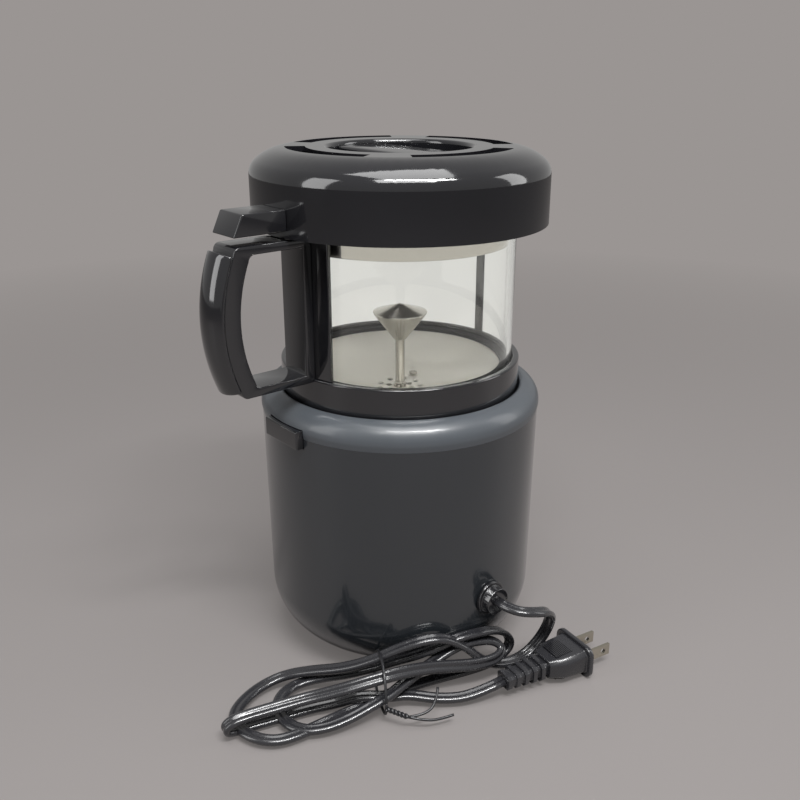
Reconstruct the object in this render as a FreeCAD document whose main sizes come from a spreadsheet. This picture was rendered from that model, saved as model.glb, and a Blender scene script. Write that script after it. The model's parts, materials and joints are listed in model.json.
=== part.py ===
import FreeCAD, Part

import math
import os

import Sketcher

# Home coffee bean roaster. Millimetres, +Z up, origin on the table at the middle of the foot ring.
# The handle points along +X, the mains lead leaves along +Y and the timer faces -Y.

SIZES = {
    # Base housing and foot
    "foot_height": 2.0,
    "foot_width": 6.0,
    "foot_inset": 1.0,
    "base_taper": 1.2,
    "base_corner_radius": 31.0,
    "base_seam_radius": 74.2,
    "base_seam_height": 133.5,
    "base_wall": 2.5,
    "intake_slot_count": 24,
    "intake_slot_inset": 4.0,
    "intake_slot_length": 10.0,
    "intake_slot_width": 3.0,
    # Bottom plate
    "plate_inset": 1.0,
    "plate_thickness": 2.5,
    "ledge_width": 7.0,
    "ledge_thickness": 3.0,
    "fit_gap": 0.3,
    # Base rim with the socket that the jar stands in
    "rim_proud": 0.5,
    "rim_bulge_height": 2.5,
    "rim_crown_inset": 8.2,
    "rim_height": 13.5,
    "rim_shoulder_radius": 10.2,
    "rim_wall": 2.5,
    "rim_tongue_depth": 4.0,
    "rim_tongue_wall": 2.0,
    "rim_width": 10.2,
    "socket_drop": 5.5,
    "socket_shelf_width": 11.0,
    "socket_shelf_thickness": 2.0,
    # Release button
    "button_width": 28.0,
    "button_drop": 5.0,
    "button_height": 9.5,
    "button_depth": 6.3,
    "button_proud": 2.8,
    "button_gap": 0.4,
    # Motor, chassis and blower
    "chassis_drop": 70.0,
    "chassis_reach": 8.0,
    "chassis_thickness": 2.0,
    "chassis_hole_count": 8,
    "chassis_hole_radius": 5.0,
    "chassis_hole_inset": 8.6,
    "pillar_radius": 3.0,
    "pillar_inset": 3.4,
    "pillar_neck_length": 12.0,
    "chassis_screw_grip": 9.0,
    "motor_screw_circle": 12.5,
    "motor_shaft_seat": 6.0,
    "motor_radius": 19.0,
    "motor_clearance": 15.5,
    "motor_boss_radius": 6.0,
    "shaft_radius": 1.5,
    "shaft_clearance": 0.05,
    "shroud_inset": 3.8,
    "shroud_wall": 1.2,
    "shroud_height": 28.0,
    "shroud_flange": 3.6,
    "fan_clearance": 6.2,
    "fan_hub_radius": 6.0,
    "fan_floor_gap": 6.0,
    "fan_height": 15.0,
    "fan_plate": 1.5,
    "fan_blade_count": 12,
    "fan_blade_thickness": 1.2,
    "fan_blade_length": 22.0,
    # Heater, with its nozzle's top measured from the socket's floor
    "heater_height": 36.0,
    "mica_thickness": 1.0,
    "mica_height": 28.0,
    "coil_inset": 14.2,
    "coil_wire_radius": 1.6,
    "coil_turns": 6,
    "coil_pitch": 4.2,
    "thermostat_radius": 8.0,
    "thermostat_depth": 6.0,
    "thermostat_drop": 18.0,
    "thermostat_ear_length": 24.0,
    "thermostat_ear_thickness": 0.8,
    "nozzle_wall": 1.0,
    "nozzle_mouth_radius": 17.0,
    "nozzle_flange": 4.8,
    "nozzle_top": 10.4,
    # Timer and its knob
    "timer_drop": 48.5,
    "timer_width": 30.0,
    "timer_depth": 16.0,
    "panel_seat": 5.0,
    "panel_radius": 21.0,
    "panel_proud": 3.0,
    "knob_radius": 14.0,
    "knob_length": 15.0,
    "knob_gap": 0.8,
    "timer_shaft_radius": 3.0,
    "timer_shaft_seat": 8.0,
    "lamp_rise": 32.0,
    "lamp_barrel_length": 10.0,
    "lamp_radius": 3.0,
    # Cord gland, lead and plug
    "gland_height": 44.0,
    "gland_flange_radius": 9.0,
    "gland_flange_thickness": 2.0,
    "gland_nut_radius": 7.2,
    "gland_proud": 7.0,
    "gland_locknut_thickness": 3.0,
    "gland_stem_length": 14.0,
    "cord_width": 6.6,
    "hank_clearance": 0.8,
    "tie_thickness": 0.8,
    "tie_width": 2.6,
    "plug_axis_height": 9.0,
    "plug_length": 21.0,
    "plug_width": 23.0,
    "plug_thickness": 14.0,
    "plug_flange_width": 28.0,
    "plug_flange_height": 18.0,
    "plug_flange_thickness": 2.6,
    "blade_spacing": 12.7,
    "blade_width": 6.35,
    "blade_thickness": 1.5,
    "blade_length": 17.0,
    "relief_length": 25.0,
    "relief_rib_count": 5,
    # Jar: ring, glass, bowl and deflector. Heights from here on are above the socket's floor.
    "ring_clearance": 0.8,
    "ring_wall": 3.2,
    "ring_top": 33.0,
    "ring_ledge_width": 6.0,
    "ring_ledge_top": 28.0,
    "ring_ledge_thickness": 5.0,
    "glass_clearance": 0.7,
    "glass_wall": 2.4,
    "glass_top": 110.0,
    "gasket_thickness": 2.0,
    "bowl_clearance": 0.5,
    "bowl_depth": 16.0,
    "bowl_wall": 1.0,
    "bowl_flange": 6.9,
    "bowl_hole_radius": 1.7,
    "bowl_inner_circle": 6.4,
    "bowl_outer_circle": 11.2,
    "post_radius": 2.5,
    "cone_radius": 14.3,
    "cone_bottom": 40.0,
    "cone_rim_height": 54.6,
    "cone_top": 59.4,
    "cone_neck_radius": 3.4,
    "post_socket_depth": 5.0,
    "post_tail_length": 6.0,
    "nut_height": 3.2,
    "nut_wall": 2.1,
    "sensor_place": 17.0,
    "sensor_radius": 2.2,
    "sensor_height": 1.2,
    # Posts, top ring and handle
    "post_wall": 2.4,
    "front_post_angle": 36.0,
    "back_post_angle": 5.0,
    "top_ring_bottom": 103.6,
    "top_ring_top": 111.6,
    "handle_width": 19.0,
    "handle_bottom": 31.4,
    "handle_top": 102.4,
    "handle_bar": 4.2,
    "handle_reach": 40.0,
    "handle_rim_width": 7.4,
    "handle_bow_radius": 80.5,
    "handle_post_depth": 4.2,
    "grip_crown": 5.6,
    "grip_edge": 1.4,
    "grip_angle": 46.0,
    # Lid
    "lid_overhang": 0.8,
    "lid_bottom": 103.2,
    "lid_wall_top": 127.0,
    "lid_top": 139.6,
    "lid_wall": 2.5,
    "lid_small_radius": 9.0,
    "lid_shoulder_width": 19.0,
    "recess_inset": 39.0,
    "recess_floor": 123.0,
    "grip_bar_width": 28.0,
    "grip_bar_sunk": 2.0,
    "vent_inner_inset": 28.0,
    "vent_outer_inset": 18.0,
    "vent_angle": 68.0,
    "tab_width": 19.8,
    "tab_bottom": 106.6,
    "tab_top": 116.6,
    "tab_length_low": 26.8,
    "tab_length_high": 22.0,
    "liner_bottom": 113.6,
    "liner_thickness": 2.0,
    "liner_width": 19.0,
    "liner_pillar_radius": 3.0,
    "liner_pillar_inset": 8.5,
    "lid_screw_length": 9.0,
    # Chaff filter
    "filter_clearance": 0.5,
    "filter_wall": 1.0,
    "filter_bottom": 93.0,
    "filter_top": 115.6,
    "mesh_height": 110.0,
    "mesh_thickness": 0.6,
    "mesh_hole_radius": 2.2,
}

# The lead's route from the gland to the hank, chosen by hand along the photographed line.
CORD_ROUTE = [
    (0.0, 80.0, 44.0),
    (0.0, 91.0, 44.0),
    (-9.0, 98.0, 43.0),
    (-21.0, 96.0, 38.0),
    (-30.0, 91.0, 28.5),
    (-31.0, 86.0, 14.5),
    (-22.0, 83.5, 4.8),
    (-8.5, 83.0, 4.0),
    (8.0, 80.5, 10.0),
]

# The short stretch between the hank and the plug's strain relief.
LEAD_ROUTE = [
    (52.0, 70.0, 6.0),
    (40.0, 82.0, 4.2),
    (26.0, 91.0, 5.0),
    (10.0, 95.4, 9.0),
]

# Where the plug's lead leaves its strain relief, and the way the blades point.
PLUG_FACE = (-38.0, 103.0)
PLUG_HEADING = 171.0

# The hank's long axis on the table, and its outline there: distance along, near side, far side, height.
HANK_START = (-20.0, 77.0)
HANK_HEADING = -17.3
HANK_SECTIONS = [
    (2.0, -5.0, 1.5, 8.0),
    (14.0, -8.0, 5.5, 18.0),
    (25.0, -9.0, 8.5, 27.0),
    (42.0, -8.0, 14.0, 34.0),
    (60.0, -9.0, 15.0, 33.0),
    (80.0, -12.0, 17.0, 26.0),
    (104.0, -24.0, 25.0, 14.0),
    (128.0, -26.0, 25.0, 11.0),
    (150.0, -13.0, 18.0, 10.0),
    (164.0, -5.0, 7.0, 8.0),
]
TIE_PLACE = 73.0

DOC = FreeCAD.newDocument("bean_roaster")
SHEET = DOC.addObject("Spreadsheet::Sheet", "Sizes")
PARTS = []


class Size:
    """A size known both as a number and as a formula on the sheet."""

    def __init__(self, text, value):
        self.text = text
        self.value = value

    def joined(self, sign, other, value):
        return Size("(" + self.text + " " + sign + " " + size(other).text + ")", value)

    def __add__(self, other):
        return self.joined("+", other, self.value + size(other).value)

    def __sub__(self, other):
        return self.joined("-", other, self.value - size(other).value)

    def __mul__(self, other):
        return self.joined("*", other, self.value * size(other).value)

    def __truediv__(self, other):
        return self.joined("/", other, self.value / size(other).value)

    def __rsub__(self, other):
        return size(other) - self

    def __neg__(self):
        return Size("(0 - " + self.text + ")", -self.value)


def size(number):
    """Turns a plain number into a Size, and leaves a Size as it is."""
    return number if isinstance(number, Size) else Size(repr(float(number)), float(number))


def root(square):
    return Size("sqrt(" + square.text + ")", math.sqrt(square.value))


def fill_sheet():
    """Writes each driving size to the sheet and gives its cell an alias."""
    for row, (name, number) in enumerate(SIZES.items(), start=1):
        cell = "B" + str(row)
        SHEET.set("A" + str(row), name)
        SHEET.set(cell, str(number))
        SHEET.setAlias(cell, name)
    DOC.recompute()


def dim(name):
    return Size("Sizes." + name, float(SHEET.get(name)))


def bind(item, prop, value):
    """Ties one property of an object to the sheet."""
    item.setExpression(prop, size(value).text)


def keep(item, label):
    """Names a finished sub-part and lists it for export."""
    item.Label = label
    PARTS.append(item)
    return item


def new_body(name):
    return DOC.addObject("PartDesign::Body", name)


def origin_item(body, role):
    return next(item for item in body.Origin.OriginFeatures if item.Role == role)


def new_sketch(body, name, role="XZ_Plane", height=None):
    sketch = body.newObject("Sketcher::SketchObject", name)
    sketch.AttachmentSupport = [(origin_item(body, role), "")]
    sketch.MapMode = "FlatFace"
    if height is not None:
        bind(sketch, "AttachmentOffset.Base.z", height)
    return sketch


def pin(sketch, edge, point, x, y):
    """Fixes one end of an edge at sizes measured from the sketch's axes."""
    for kind, axis, value in (("DistanceX", -2, size(x)), ("DistanceY", -1, size(y))):
        if value.value == 0:
            sketch.addConstraint(Sketcher.Constraint("PointOnObject", edge, point, axis))
            continue
        index = sketch.addConstraint(Sketcher.Constraint(kind, edge, point, value.value))
        sketch.setExpression("Constraints[" + str(index) + "]", value.text)


def arc_between(start, end, radius):
    """A short arc with its centre left of the way from start to end, or right for a negative radius."""
    chord = end - start
    side = FreeCAD.Vector(-chord.y, chord.x, 0).normalize()
    turn = 1 if radius > 0 else -1
    reach = math.sqrt(max(radius ** 2 - (chord.Length / 2) ** 2, 0))
    centre = (start + end) * 0.5 + side * reach * turn
    bulge = centre - side * turn * abs(radius)
    return Part.Arc(start, bulge, end) if radius > 0 else Part.Arc(end, bulge, start)


def outline(sketch, corners):
    """Draws a closed outline through the corners. A third value bends the edge that leaves a corner."""
    points = [FreeCAD.Vector(size(c[0]).value, size(c[1]).value, 0) for c in corners]
    edges = []
    for index, corner in enumerate(corners):
        start, end = points[index], points[(index + 1) % len(points)]
        if len(corner) == 3:
            edges.append(sketch.addGeometry(arc_between(start, end, size(corner[2]).value), False))
        else:
            edges.append(sketch.addGeometry(Part.LineSegment(start, end), False))
    ends = [edge_ends(sketch, edge, points[index]) for index, edge in enumerate(edges)]
    for index, corner in enumerate(corners):
        pin(sketch, edges[index], ends[index][0], corner[0], corner[1])
        after = (index + 1) % len(edges)
        sketch.addConstraint(
            Sketcher.Constraint("Coincident", edges[index], ends[index][1], edges[after], ends[after][0]))
        if len(corner) == 3:
            radius = size(corner[2])
            bent = sketch.addConstraint(Sketcher.Constraint("Radius", edges[index], abs(radius.value)))
            sketch.setExpression("Constraints[" + str(bent) + "]", "abs(" + radius.text + ")")


def edge_ends(sketch, edge, start):
    """The point numbers of an edge's start and end, because an arc always runs anticlockwise."""
    first = sketch.Geometry[edge].StartPoint
    return (1, 2) if first.distanceToPoint(start) < 1e-6 else (2, 1)


def circles(sketch, rounds):
    """Draws whole circles, each at a centre and of a radius."""
    for x, y, radius in rounds:
        centre = FreeCAD.Vector(size(x).value, size(y).value, 0)
        edge = sketch.addGeometry(Part.Circle(centre, FreeCAD.Vector(0, 0, 1), size(radius).value), False)
        pin(sketch, edge, 3, x, y)
        index = sketch.addConstraint(Sketcher.Constraint("Radius", edge, size(radius).value))
        sketch.setExpression("Constraints[" + str(index) + "]", size(radius).text)


def turned(body, corners):
    """Turns an outline once round the body's Z axis."""
    sketch = new_sketch(body, body.Name + "_outline")
    outline(sketch, corners)
    turn = body.newObject("PartDesign::Revolution", body.Name + "_turn")
    turn.Profile = sketch
    turn.ReferenceAxis = (sketch, ["V_Axis"])
    turn.Angle = 360
    sketch.Visibility = False
    DOC.recompute()
    return turn


def padded(body, sketch, length, both_sides=False):
    pad = body.newObject("PartDesign::Pad", sketch.Name + "_pad")
    pad.Profile = sketch
    bind(pad, "Length", length)
    pad.Midplane = both_sides
    DOC.recompute()
    return pad


def pocketed(body, sketch, depth, backwards=False):
    """Cuts a sketch out of the body, and checks that something was really cut."""
    before = body.Shape.Volume
    pocket = body.newObject("PartDesign::Pocket", sketch.Name + "_cut")
    pocket.Profile = sketch
    pocket.Type = "Length"
    bind(pocket, "Length", depth)
    pocket.Reversed = backwards
    DOC.recompute()
    if body.Shape.Volume > before - 0.01:
        raise RuntimeError(sketch.Name + " cuts nothing")
    return pocket


def repeated(body, feature, count):
    """Repeats a feature evenly round the body's Z axis."""
    pattern = body.newObject("PartDesign::PolarPattern", feature.Name + "_ring")
    pattern.Originals = [feature]
    pattern.Axis = (origin_item(body, "Z_Axis"), [""])
    pattern.Angle = 360
    bind(pattern, "Occurrences", count)
    body.Tip = pattern
    DOC.recompute()
    return pattern


def ring_body(label, inner, outer, low, high):
    """A plain ring or disc between two radii and two heights."""
    body = new_body(label)
    turned(body, [(inner, low), (outer, low), (outer, high), (inner, high)])
    return keep(body, label)


def primitive(kind, name, **sizes):
    item = DOC.addObject("Part::" + kind, name)
    for prop, value in sizes.items():
        bind(item, prop, value)
    return item


def placed(item, x=0, y=0, z=0, axis=(0, 0, 1), angle=0):
    """Sets where a primitive stands, with each coordinate tied to the sheet."""
    item.Placement = FreeCAD.Placement(
        FreeCAD.Vector(size(x).value, size(y).value, size(z).value),
        FreeCAD.Rotation(FreeCAD.Vector(*axis), size(angle).value))
    for prop, value in (("x", x), ("y", y), ("z", z)):
        bind(item, "Placement.Base." + prop, value)
    return item


def cut(name, base, tool):
    item = DOC.addObject("Part::Cut", name)
    item.Base = base
    item.Tool = tool
    return item


def fuse(name, pieces):
    item = DOC.addObject("Part::MultiFuse", name)
    item.Shapes = pieces
    return item


def feature(label, shape):
    """A sub-part whose shape is made directly, for groups of solids and free forms."""
    item = DOC.addObject("Part::Feature", label)
    item.Shape = shape
    return keep(item, label)


def around(shape, radius, count, start=0.0, height=0.0):
    """Copies of a solid spaced evenly on a circle round the Z axis."""
    copies = []
    for index in range(count):
        angle = start + 360.0 * index / count
        spin = FreeCAD.Rotation(FreeCAD.Vector(0, 0, 1), angle)
        place = spin.multVec(FreeCAD.Vector(radius, 0, height))
        copy = shape.copy()
        copy.Placement = FreeCAD.Placement(place, spin)
        copies.append(copy)
    return Part.makeCompound(copies)


def screw(head_radius, head_height, shank_radius, shank_length, pointing=1):
    """A pan-head screw whose head sits under z = 0, with its shank above, or the other way up."""
    way = FreeCAD.Vector(0, 0, pointing)
    head = Part.makeCylinder(head_radius, head_height, FreeCAD.Vector(0, 0, 0), way * -1)
    shank = Part.makeCylinder(shank_radius, shank_length, FreeCAD.Vector(0, 0, 0), way)
    return head.fuse(shank).removeSplitter()


fill_sheet()

FIT = dim("fit_gap")
SCREW_RADIUS = 1.5
SCREW_HOLE = SCREW_RADIUS
SCREW_HEAD_RADIUS = 2.6
SCREW_HEAD = 1.8


# Base housing
foot = dim("foot_height")
wall = dim("base_wall")
floor_top = foot + wall
corner_top = foot + dim("base_corner_radius")
seam = dim("base_seam_height")
seam_radius = dim("base_seam_radius")
lower_radius = seam_radius - dim("base_taper")
corner_middle = lower_radius - dim("base_corner_radius")
foot_outer = corner_middle - dim("foot_inset")
foot_inner = foot_outer - dim("foot_width")
plate_edge = foot_inner - dim("plate_inset")
panel_back = lower_radius - dim("panel_seat")
panel_front = lower_radius + dim("panel_proud")
gland_face = lower_radius + dim("gland_proud")
plate_top = foot + dim("plate_thickness")
ledge_radius = plate_edge - dim("ledge_width")
ledge_top = plate_top + dim("ledge_thickness")
plate_screw_circle = plate_edge - dim("ledge_width") / 2
button_low = seam - dim("button_drop")
button_face = seam_radius + dim("button_proud")
timer_axis = seam - dim("timer_drop")
lamp_axis = timer_axis + dim("lamp_rise")


def base_housing():
    body = new_body("base_housing")
    turned(body, [
        (plate_edge, foot),
        (corner_middle, foot, dim("base_corner_radius")),
        (lower_radius, corner_top),
        (seam_radius, seam),
        (seam_radius - wall, seam),
        (lower_radius - wall, corner_top, -(dim("base_corner_radius") - wall)),
        (corner_middle, floor_top),
        (plate_edge + FIT, floor_top),
        (plate_edge + FIT, ledge_top),
        (ledge_radius, ledge_top),
        (ledge_radius, plate_top),
        (plate_edge, plate_top),
    ])
    slot = new_sketch(body, "intake", "XY_Plane", 0)
    start = (corner_middle + dim("intake_slot_inset"))
    end = start + dim("intake_slot_length")
    half = dim("intake_slot_width") / 2
    outline(slot, [(start, -half), (end, -half), (end, half), (start, half)])
    repeated(body, pocketed(body, slot, foot + dim("base_corner_radius") / 2, True), dim("intake_slot_count"))
    holes = new_sketch(body, "ledge_holes", "XY_Plane", 0)
    circles(holes, [(plate_screw_circle, 0, SCREW_HOLE)])
    repeated(body, pocketed(body, holes, ledge_top + 1, True), 4)
    front = new_sketch(body, "front_holes")
    circles(front, [(0, timer_axis, dim("panel_radius") + FIT), (0, lamp_axis, dim("lamp_radius"))])
    pocketed(body, front, lower_radius + 10, True)
    back = new_sketch(body, "gland_hole")
    circles(back, [(0, dim("gland_height"), dim("gland_nut_radius") - 1)])
    pocketed(body, back, lower_radius + 10)
    window = new_sketch(body, "button_window", "YZ_Plane")
    button_outline(window)
    pocketed(body, window, button_face, True)
    return keep(body, "base_housing")


def button_outline(sketch):
    """The window that the release button slides in, with its running gap."""
    gap = dim("button_gap")
    half = dim("button_width") / 2 + gap
    low = button_low - gap
    high = button_low + dim("button_height") + gap
    outline(sketch, [(-half, low), (half, low), (half, high), (-half, high)])


def bottom_plate():
    body = new_body("bottom_plate")
    outer = plate_edge - FIT
    turned(body, [(0, foot), (outer, foot), (outer, plate_top), (0, plate_top)])
    holes = new_sketch(body, "plate_holes", "XY_Plane", 0)
    circles(holes, [(plate_screw_circle, 0, SCREW_HOLE)])
    repeated(body, pocketed(body, holes, plate_top + 1, True), 4)
    return keep(body, "bottom_plate")


def foot_ring():
    return ring_body("foot_ring", foot_inner, foot_outer, 0, foot)


# Base rim
socket = seam_radius - dim("rim_width")
rim_edge = seam_radius + dim("rim_proud")
rim_crown = seam_radius - dim("rim_crown_inset")
shelf_edge = socket - dim("socket_shelf_width")
shelf_top = seam - dim("socket_drop")
shelf_bottom = shelf_top - dim("socket_shelf_thickness")
bulge = seam + dim("rim_bulge_height")
rim_top = seam + dim("rim_height")
rim_wall = dim("rim_wall")
tongue_outer = seam_radius - wall - FIT
tongue_inner = tongue_outer - dim("rim_tongue_wall")
tongue_bottom = seam - dim("rim_tongue_depth")
rim_lip = rim_crown - socket


def raised(name):
    """A height that the sheet gives from the socket's floor."""
    return shelf_top + dim(name)


def base_rim():
    body = new_body("base_rim")
    turned(body, [
        (tongue_outer, seam),
        (seam_radius, seam),
        (rim_edge, bulge, dim("rim_shoulder_radius")),
        (rim_crown, rim_top, rim_lip),
        (socket, rim_top - rim_lip),
        (socket, shelf_top),
        (shelf_edge, shelf_top),
        (shelf_edge, shelf_bottom),
        (socket + rim_wall, shelf_bottom),
        (socket + rim_wall, rim_top - rim_wall - 1),
        (tongue_inner, bulge + rim_wall),
        (tongue_inner, tongue_bottom),
        (tongue_outer, tongue_bottom),
    ])
    window = new_sketch(body, "button_notch", "YZ_Plane", socket + rim_wall)
    button_outline(window)
    pocketed(body, window, button_face - socket, True)
    return keep(body, "base_rim")


def release_button():
    button = primitive("Box", "button_block", Length=dim("button_depth"), Width=dim("button_width"),
                       Height=dim("button_height"))
    placed(button, button_face - dim("button_depth"), -(dim("button_width") / 2), button_low)
    rounded = DOC.addObject("Part::Fillet", "button_rounded")
    rounded.Base = button
    DOC.recompute()
    upright = [index + 1 for index, edge in enumerate(button.Shape.Edges)
               if all(vertex.X > button_face.value - 0.01 for vertex in edge.Vertexes)]
    rounded.Edges = [(index, 0.8, 0.8) for index in upright]
    return keep(rounded, "release_button")


# Motor, chassis and blower
chassis = shelf_top - dim("chassis_drop")
chassis_top = chassis + dim("chassis_thickness")
chassis_edge = corner_middle + dim("chassis_reach")
pillar_circle = corner_middle - dim("pillar_inset")
hole_circle = pillar_circle - dim("chassis_hole_inset")
shroud_edge = chassis_edge - dim("shroud_inset")
fan_edge = shroud_edge - dim("fan_clearance")
shaft = dim("shaft_radius")
shaft_bore = shaft + dim("shaft_clearance")
shaft_end = chassis - dim("motor_shaft_seat")
motor_bottom = plate_top + dim("motor_clearance")
fan_bottom = chassis_top + dim("fan_floor_gap")
fan_top = fan_bottom + dim("fan_height")
shroud_top = chassis_top + dim("shroud_height")


def motor_can():
    body = new_body("motor_can")
    turned(body, [
        (0, motor_bottom), (dim("motor_radius"), motor_bottom), (dim("motor_radius"), chassis),
        (dim("motor_boss_radius"), chassis), (dim("motor_boss_radius"), chassis_top),
        (shaft_bore, chassis_top), (shaft_bore, shaft_end - 2), (0, shaft_end - 2),
    ])
    return keep(body, "motor_can")


def motor_shaft():
    rod = primitive("Cylinder", "motor_shaft", Radius=shaft, Height=fan_top - shaft_end)
    placed(rod, 0, 0, shaft_end)
    return keep(rod, "motor_shaft")


def motor_screws():
    one = screw(SCREW_HEAD_RADIUS, SCREW_HEAD, SCREW_RADIUS, dim("chassis_thickness").value, -1)
    return feature("motor_screws", around(one, dim("motor_screw_circle").value, 2, 90.0, chassis_top.value))


def rectifier_board():
    board = primitive("Cylinder", "board_disc", Radius=dim("motor_radius") - 4, Height=1.6)
    placed(board, 0, 0, motor_bottom - 3.6)
    tags = []
    for side in (-1, 1):
        tag = primitive("Box", "motor_tag", Length=3, Width=1, Height=2)
        tags.append(placed(tag, side * 8 - 1.5, -0.5, motor_bottom - 2))
    return keep(fuse("rectifier_board", [board] + tags), "rectifier_board")


def chassis_plate():
    body = new_body("chassis_plate")
    turned(body, [(dim("motor_boss_radius"), chassis), (chassis_edge, chassis),
                  (chassis_edge, chassis_top), (dim("motor_boss_radius"), chassis_top)])
    air = new_sketch(body, "air_holes", "XY_Plane", chassis)
    circles(air, [(hole_circle, 0, dim("chassis_hole_radius"))])
    repeated(body, pocketed(body, air, dim("chassis_thickness") + 1, True), dim("chassis_hole_count"))
    rings = [(pillar_circle, 4, 45.0), (dim("motor_screw_circle"), 2, 90.0)]
    return drilled(body, "chassis_plate", rings, chassis)


def drilled(body, label, patterns, height):
    """Cuts rings of screw holes through a plate."""
    for number, (circle, count, start) in enumerate(patterns):
        sketch = new_sketch(body, label + "_screw_holes" + str(number), "XY_Plane", height)
        turn = math.radians(start)
        circles(sketch, [(round_off(circle, math.cos(turn)), round_off(circle, math.sin(turn)), SCREW_HOLE)])
        repeated(body, pocketed(body, sketch, 12, True), count)
    return keep(body, label)


def round_off(length, share):
    """A share of a length, with a share that is only rounding noise taken as none."""
    return 0 if abs(share) < 1e-9 else length * share


def chassis_posts():
    neck = dim("pillar_neck_length").value
    shoulder = (chassis - floor_top).value - neck
    stem = Part.makeCylinder(dim("pillar_radius").value, shoulder)
    top = Part.makeCylinder(dim("pillar_radius").value * 0.8, neck, FreeCAD.Vector(0, 0, shoulder))
    core = Part.makeCylinder(SCREW_RADIUS, neck, FreeCAD.Vector(0, 0, shoulder))
    pillar = stem.fuse(top).cut(core).removeSplitter()
    return feature("chassis_posts", around(pillar, pillar_circle.value, 4, 45.0, floor_top.value))


def chassis_screws():
    length = (dim("chassis_thickness") + dim("chassis_screw_grip")).value
    one = screw(SCREW_HEAD_RADIUS, SCREW_HEAD, SCREW_RADIUS, length, -1)
    return feature("chassis_screws", around(one, pillar_circle.value, 4, 45.0, chassis_top.value))


def fan_shroud():
    outer = shroud_edge
    inner = outer - dim("shroud_wall")
    body = new_body("fan_shroud")
    turned(body, [
        (inner, chassis_top), (outer + dim("shroud_flange"), chassis_top),
        (outer + dim("shroud_flange"), chassis_top + dim("shroud_wall")),
        (outer, chassis_top + dim("shroud_wall")), (outer, shroud_top), (inner, shroud_top),
    ])
    return keep(body, "fan_shroud")


def fan_impeller():
    body = new_body("fan_impeller")
    plate_bottom = fan_top - dim("fan_plate")
    turned(body, [
        (shaft, fan_bottom), (dim("fan_hub_radius"), fan_bottom), (dim("fan_hub_radius"), plate_bottom),
        (fan_edge, plate_bottom), (fan_edge, fan_top), (shaft, fan_top),
    ])
    blade = new_sketch(body, "fan_blade", "XY_Plane", fan_bottom)
    tip = fan_edge - 1
    heel = tip - dim("fan_blade_length")
    half = dim("fan_blade_thickness") / 2
    outline(blade, [(heel, -half), (tip, -half), (tip, half), (heel, half)])
    repeated(body, padded(body, blade, plate_bottom - fan_bottom + 0.5), dim("fan_blade_count"))
    return keep(body, "fan_impeller")


# Heater
heater_top = shroud_top + dim("heater_height")
coil_circle = shroud_edge - dim("coil_inset")
nozzle_edge = shroud_edge + dim("nozzle_flange")
mica_bottom = shroud_top + (dim("heater_height") - dim("mica_height")) / 2
coil_bottom = mica_bottom + (dim("mica_height") - dim("coil_pitch") * (dim("coil_turns") - 1)) / 2


def heater_can():
    outer = shroud_edge
    return ring_body("heater_can", outer - dim("shroud_wall"), outer, shroud_top, heater_top)


def coil_rings(wire):
    """The heating wire's turns, as rings on one axis."""
    rings = []
    for turn in range(int(dim("coil_turns").value)):
        height = (coil_bottom + dim("coil_pitch") * turn).value
        rings.append(Part.makeTorus(coil_circle.value, wire, FreeCAD.Vector(0, 0, height)))
    return Part.makeCompound(rings)


def heater_frame():
    reach = (shroud_edge - dim("shroud_wall")).value - 0.1
    thick = dim("mica_thickness").value
    tall = dim("mica_height").value
    low = mica_bottom.value
    plates = [
        Part.makeBox(2 * reach, thick, tall, FreeCAD.Vector(-reach, -thick / 2, low)),
        Part.makeBox(thick, 2 * reach, tall, FreeCAD.Vector(-thick / 2, -reach, low)),
    ]
    cross = plates[0].fuse(plates[1]).removeSplitter()
    return feature("heater_frame", cross.cut(coil_rings(dim("coil_wire_radius").value + 0.1)))


def heater_coil():
    return feature("heater_coil", coil_rings(dim("coil_wire_radius").value))


def thermostat():
    outside = shroud_edge + 0.1
    axis = heater_top - dim("thermostat_drop")
    thick = dim("thermostat_ear_thickness")
    span = dim("thermostat_ear_length")
    depth = dim("thermostat_depth")
    case = primitive("Cylinder", "thermostat_case", Radius=dim("thermostat_radius"), Height=depth)
    placed(case, -(outside + depth), 0, axis, (0, 1, 0), 90)
    ears = primitive("Box", "thermostat_ears", Length=thick, Width=span, Height=dim("thermostat_radius"))
    placed(ears, -(outside + thick), -(span / 2), axis - dim("thermostat_radius") / 2)
    return keep(fuse("thermostat", [case, ears]), "thermostat")


def air_nozzle():
    thick = dim("nozzle_wall")
    outer = shroud_edge
    mouth = dim("nozzle_mouth_radius")
    body = new_body("air_nozzle")
    turned(body, [
        (outer - 2, heater_top), (nozzle_edge, heater_top),
        (nozzle_edge, heater_top + thick), (outer - 1, heater_top + thick),
        (mouth + thick, raised("nozzle_top")), (mouth, raised("nozzle_top")),
    ])
    return keep(body, "air_nozzle")


# Timer, its panel, knob and lamp
timer_bore = dim("timer_shaft_radius") + dim("shaft_clearance")
bore_depth = dim("timer_shaft_seat") + 2
knob_face = 5


def timer_body():
    width = dim("timer_width")
    box = primitive("Box", "timer_case", Length=width, Width=dim("timer_depth"), Height=width)
    placed(box, -(width / 2), -panel_back, timer_axis - width / 2)
    bore = primitive("Cylinder", "timer_bore", Radius=timer_bore, Height=bore_depth)
    placed(bore, 0, bore_depth - panel_back, timer_axis, (1, 0, 0), 90)
    return keep(cut("timer_body", box, bore), "timer_body")


def control_panel():
    disc = primitive("Cylinder", "panel_disc", Radius=dim("panel_radius"), Height=panel_front - panel_back)
    placed(disc, 0, -panel_back, timer_axis, (1, 0, 0), 90)
    bore = primitive("Cylinder", "panel_bore", Radius=timer_bore, Height=panel_front)
    placed(bore, 0, bore_depth - panel_back, timer_axis, (1, 0, 0), 90)
    return keep(cut("control_panel", disc, bore), "control_panel")


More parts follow.
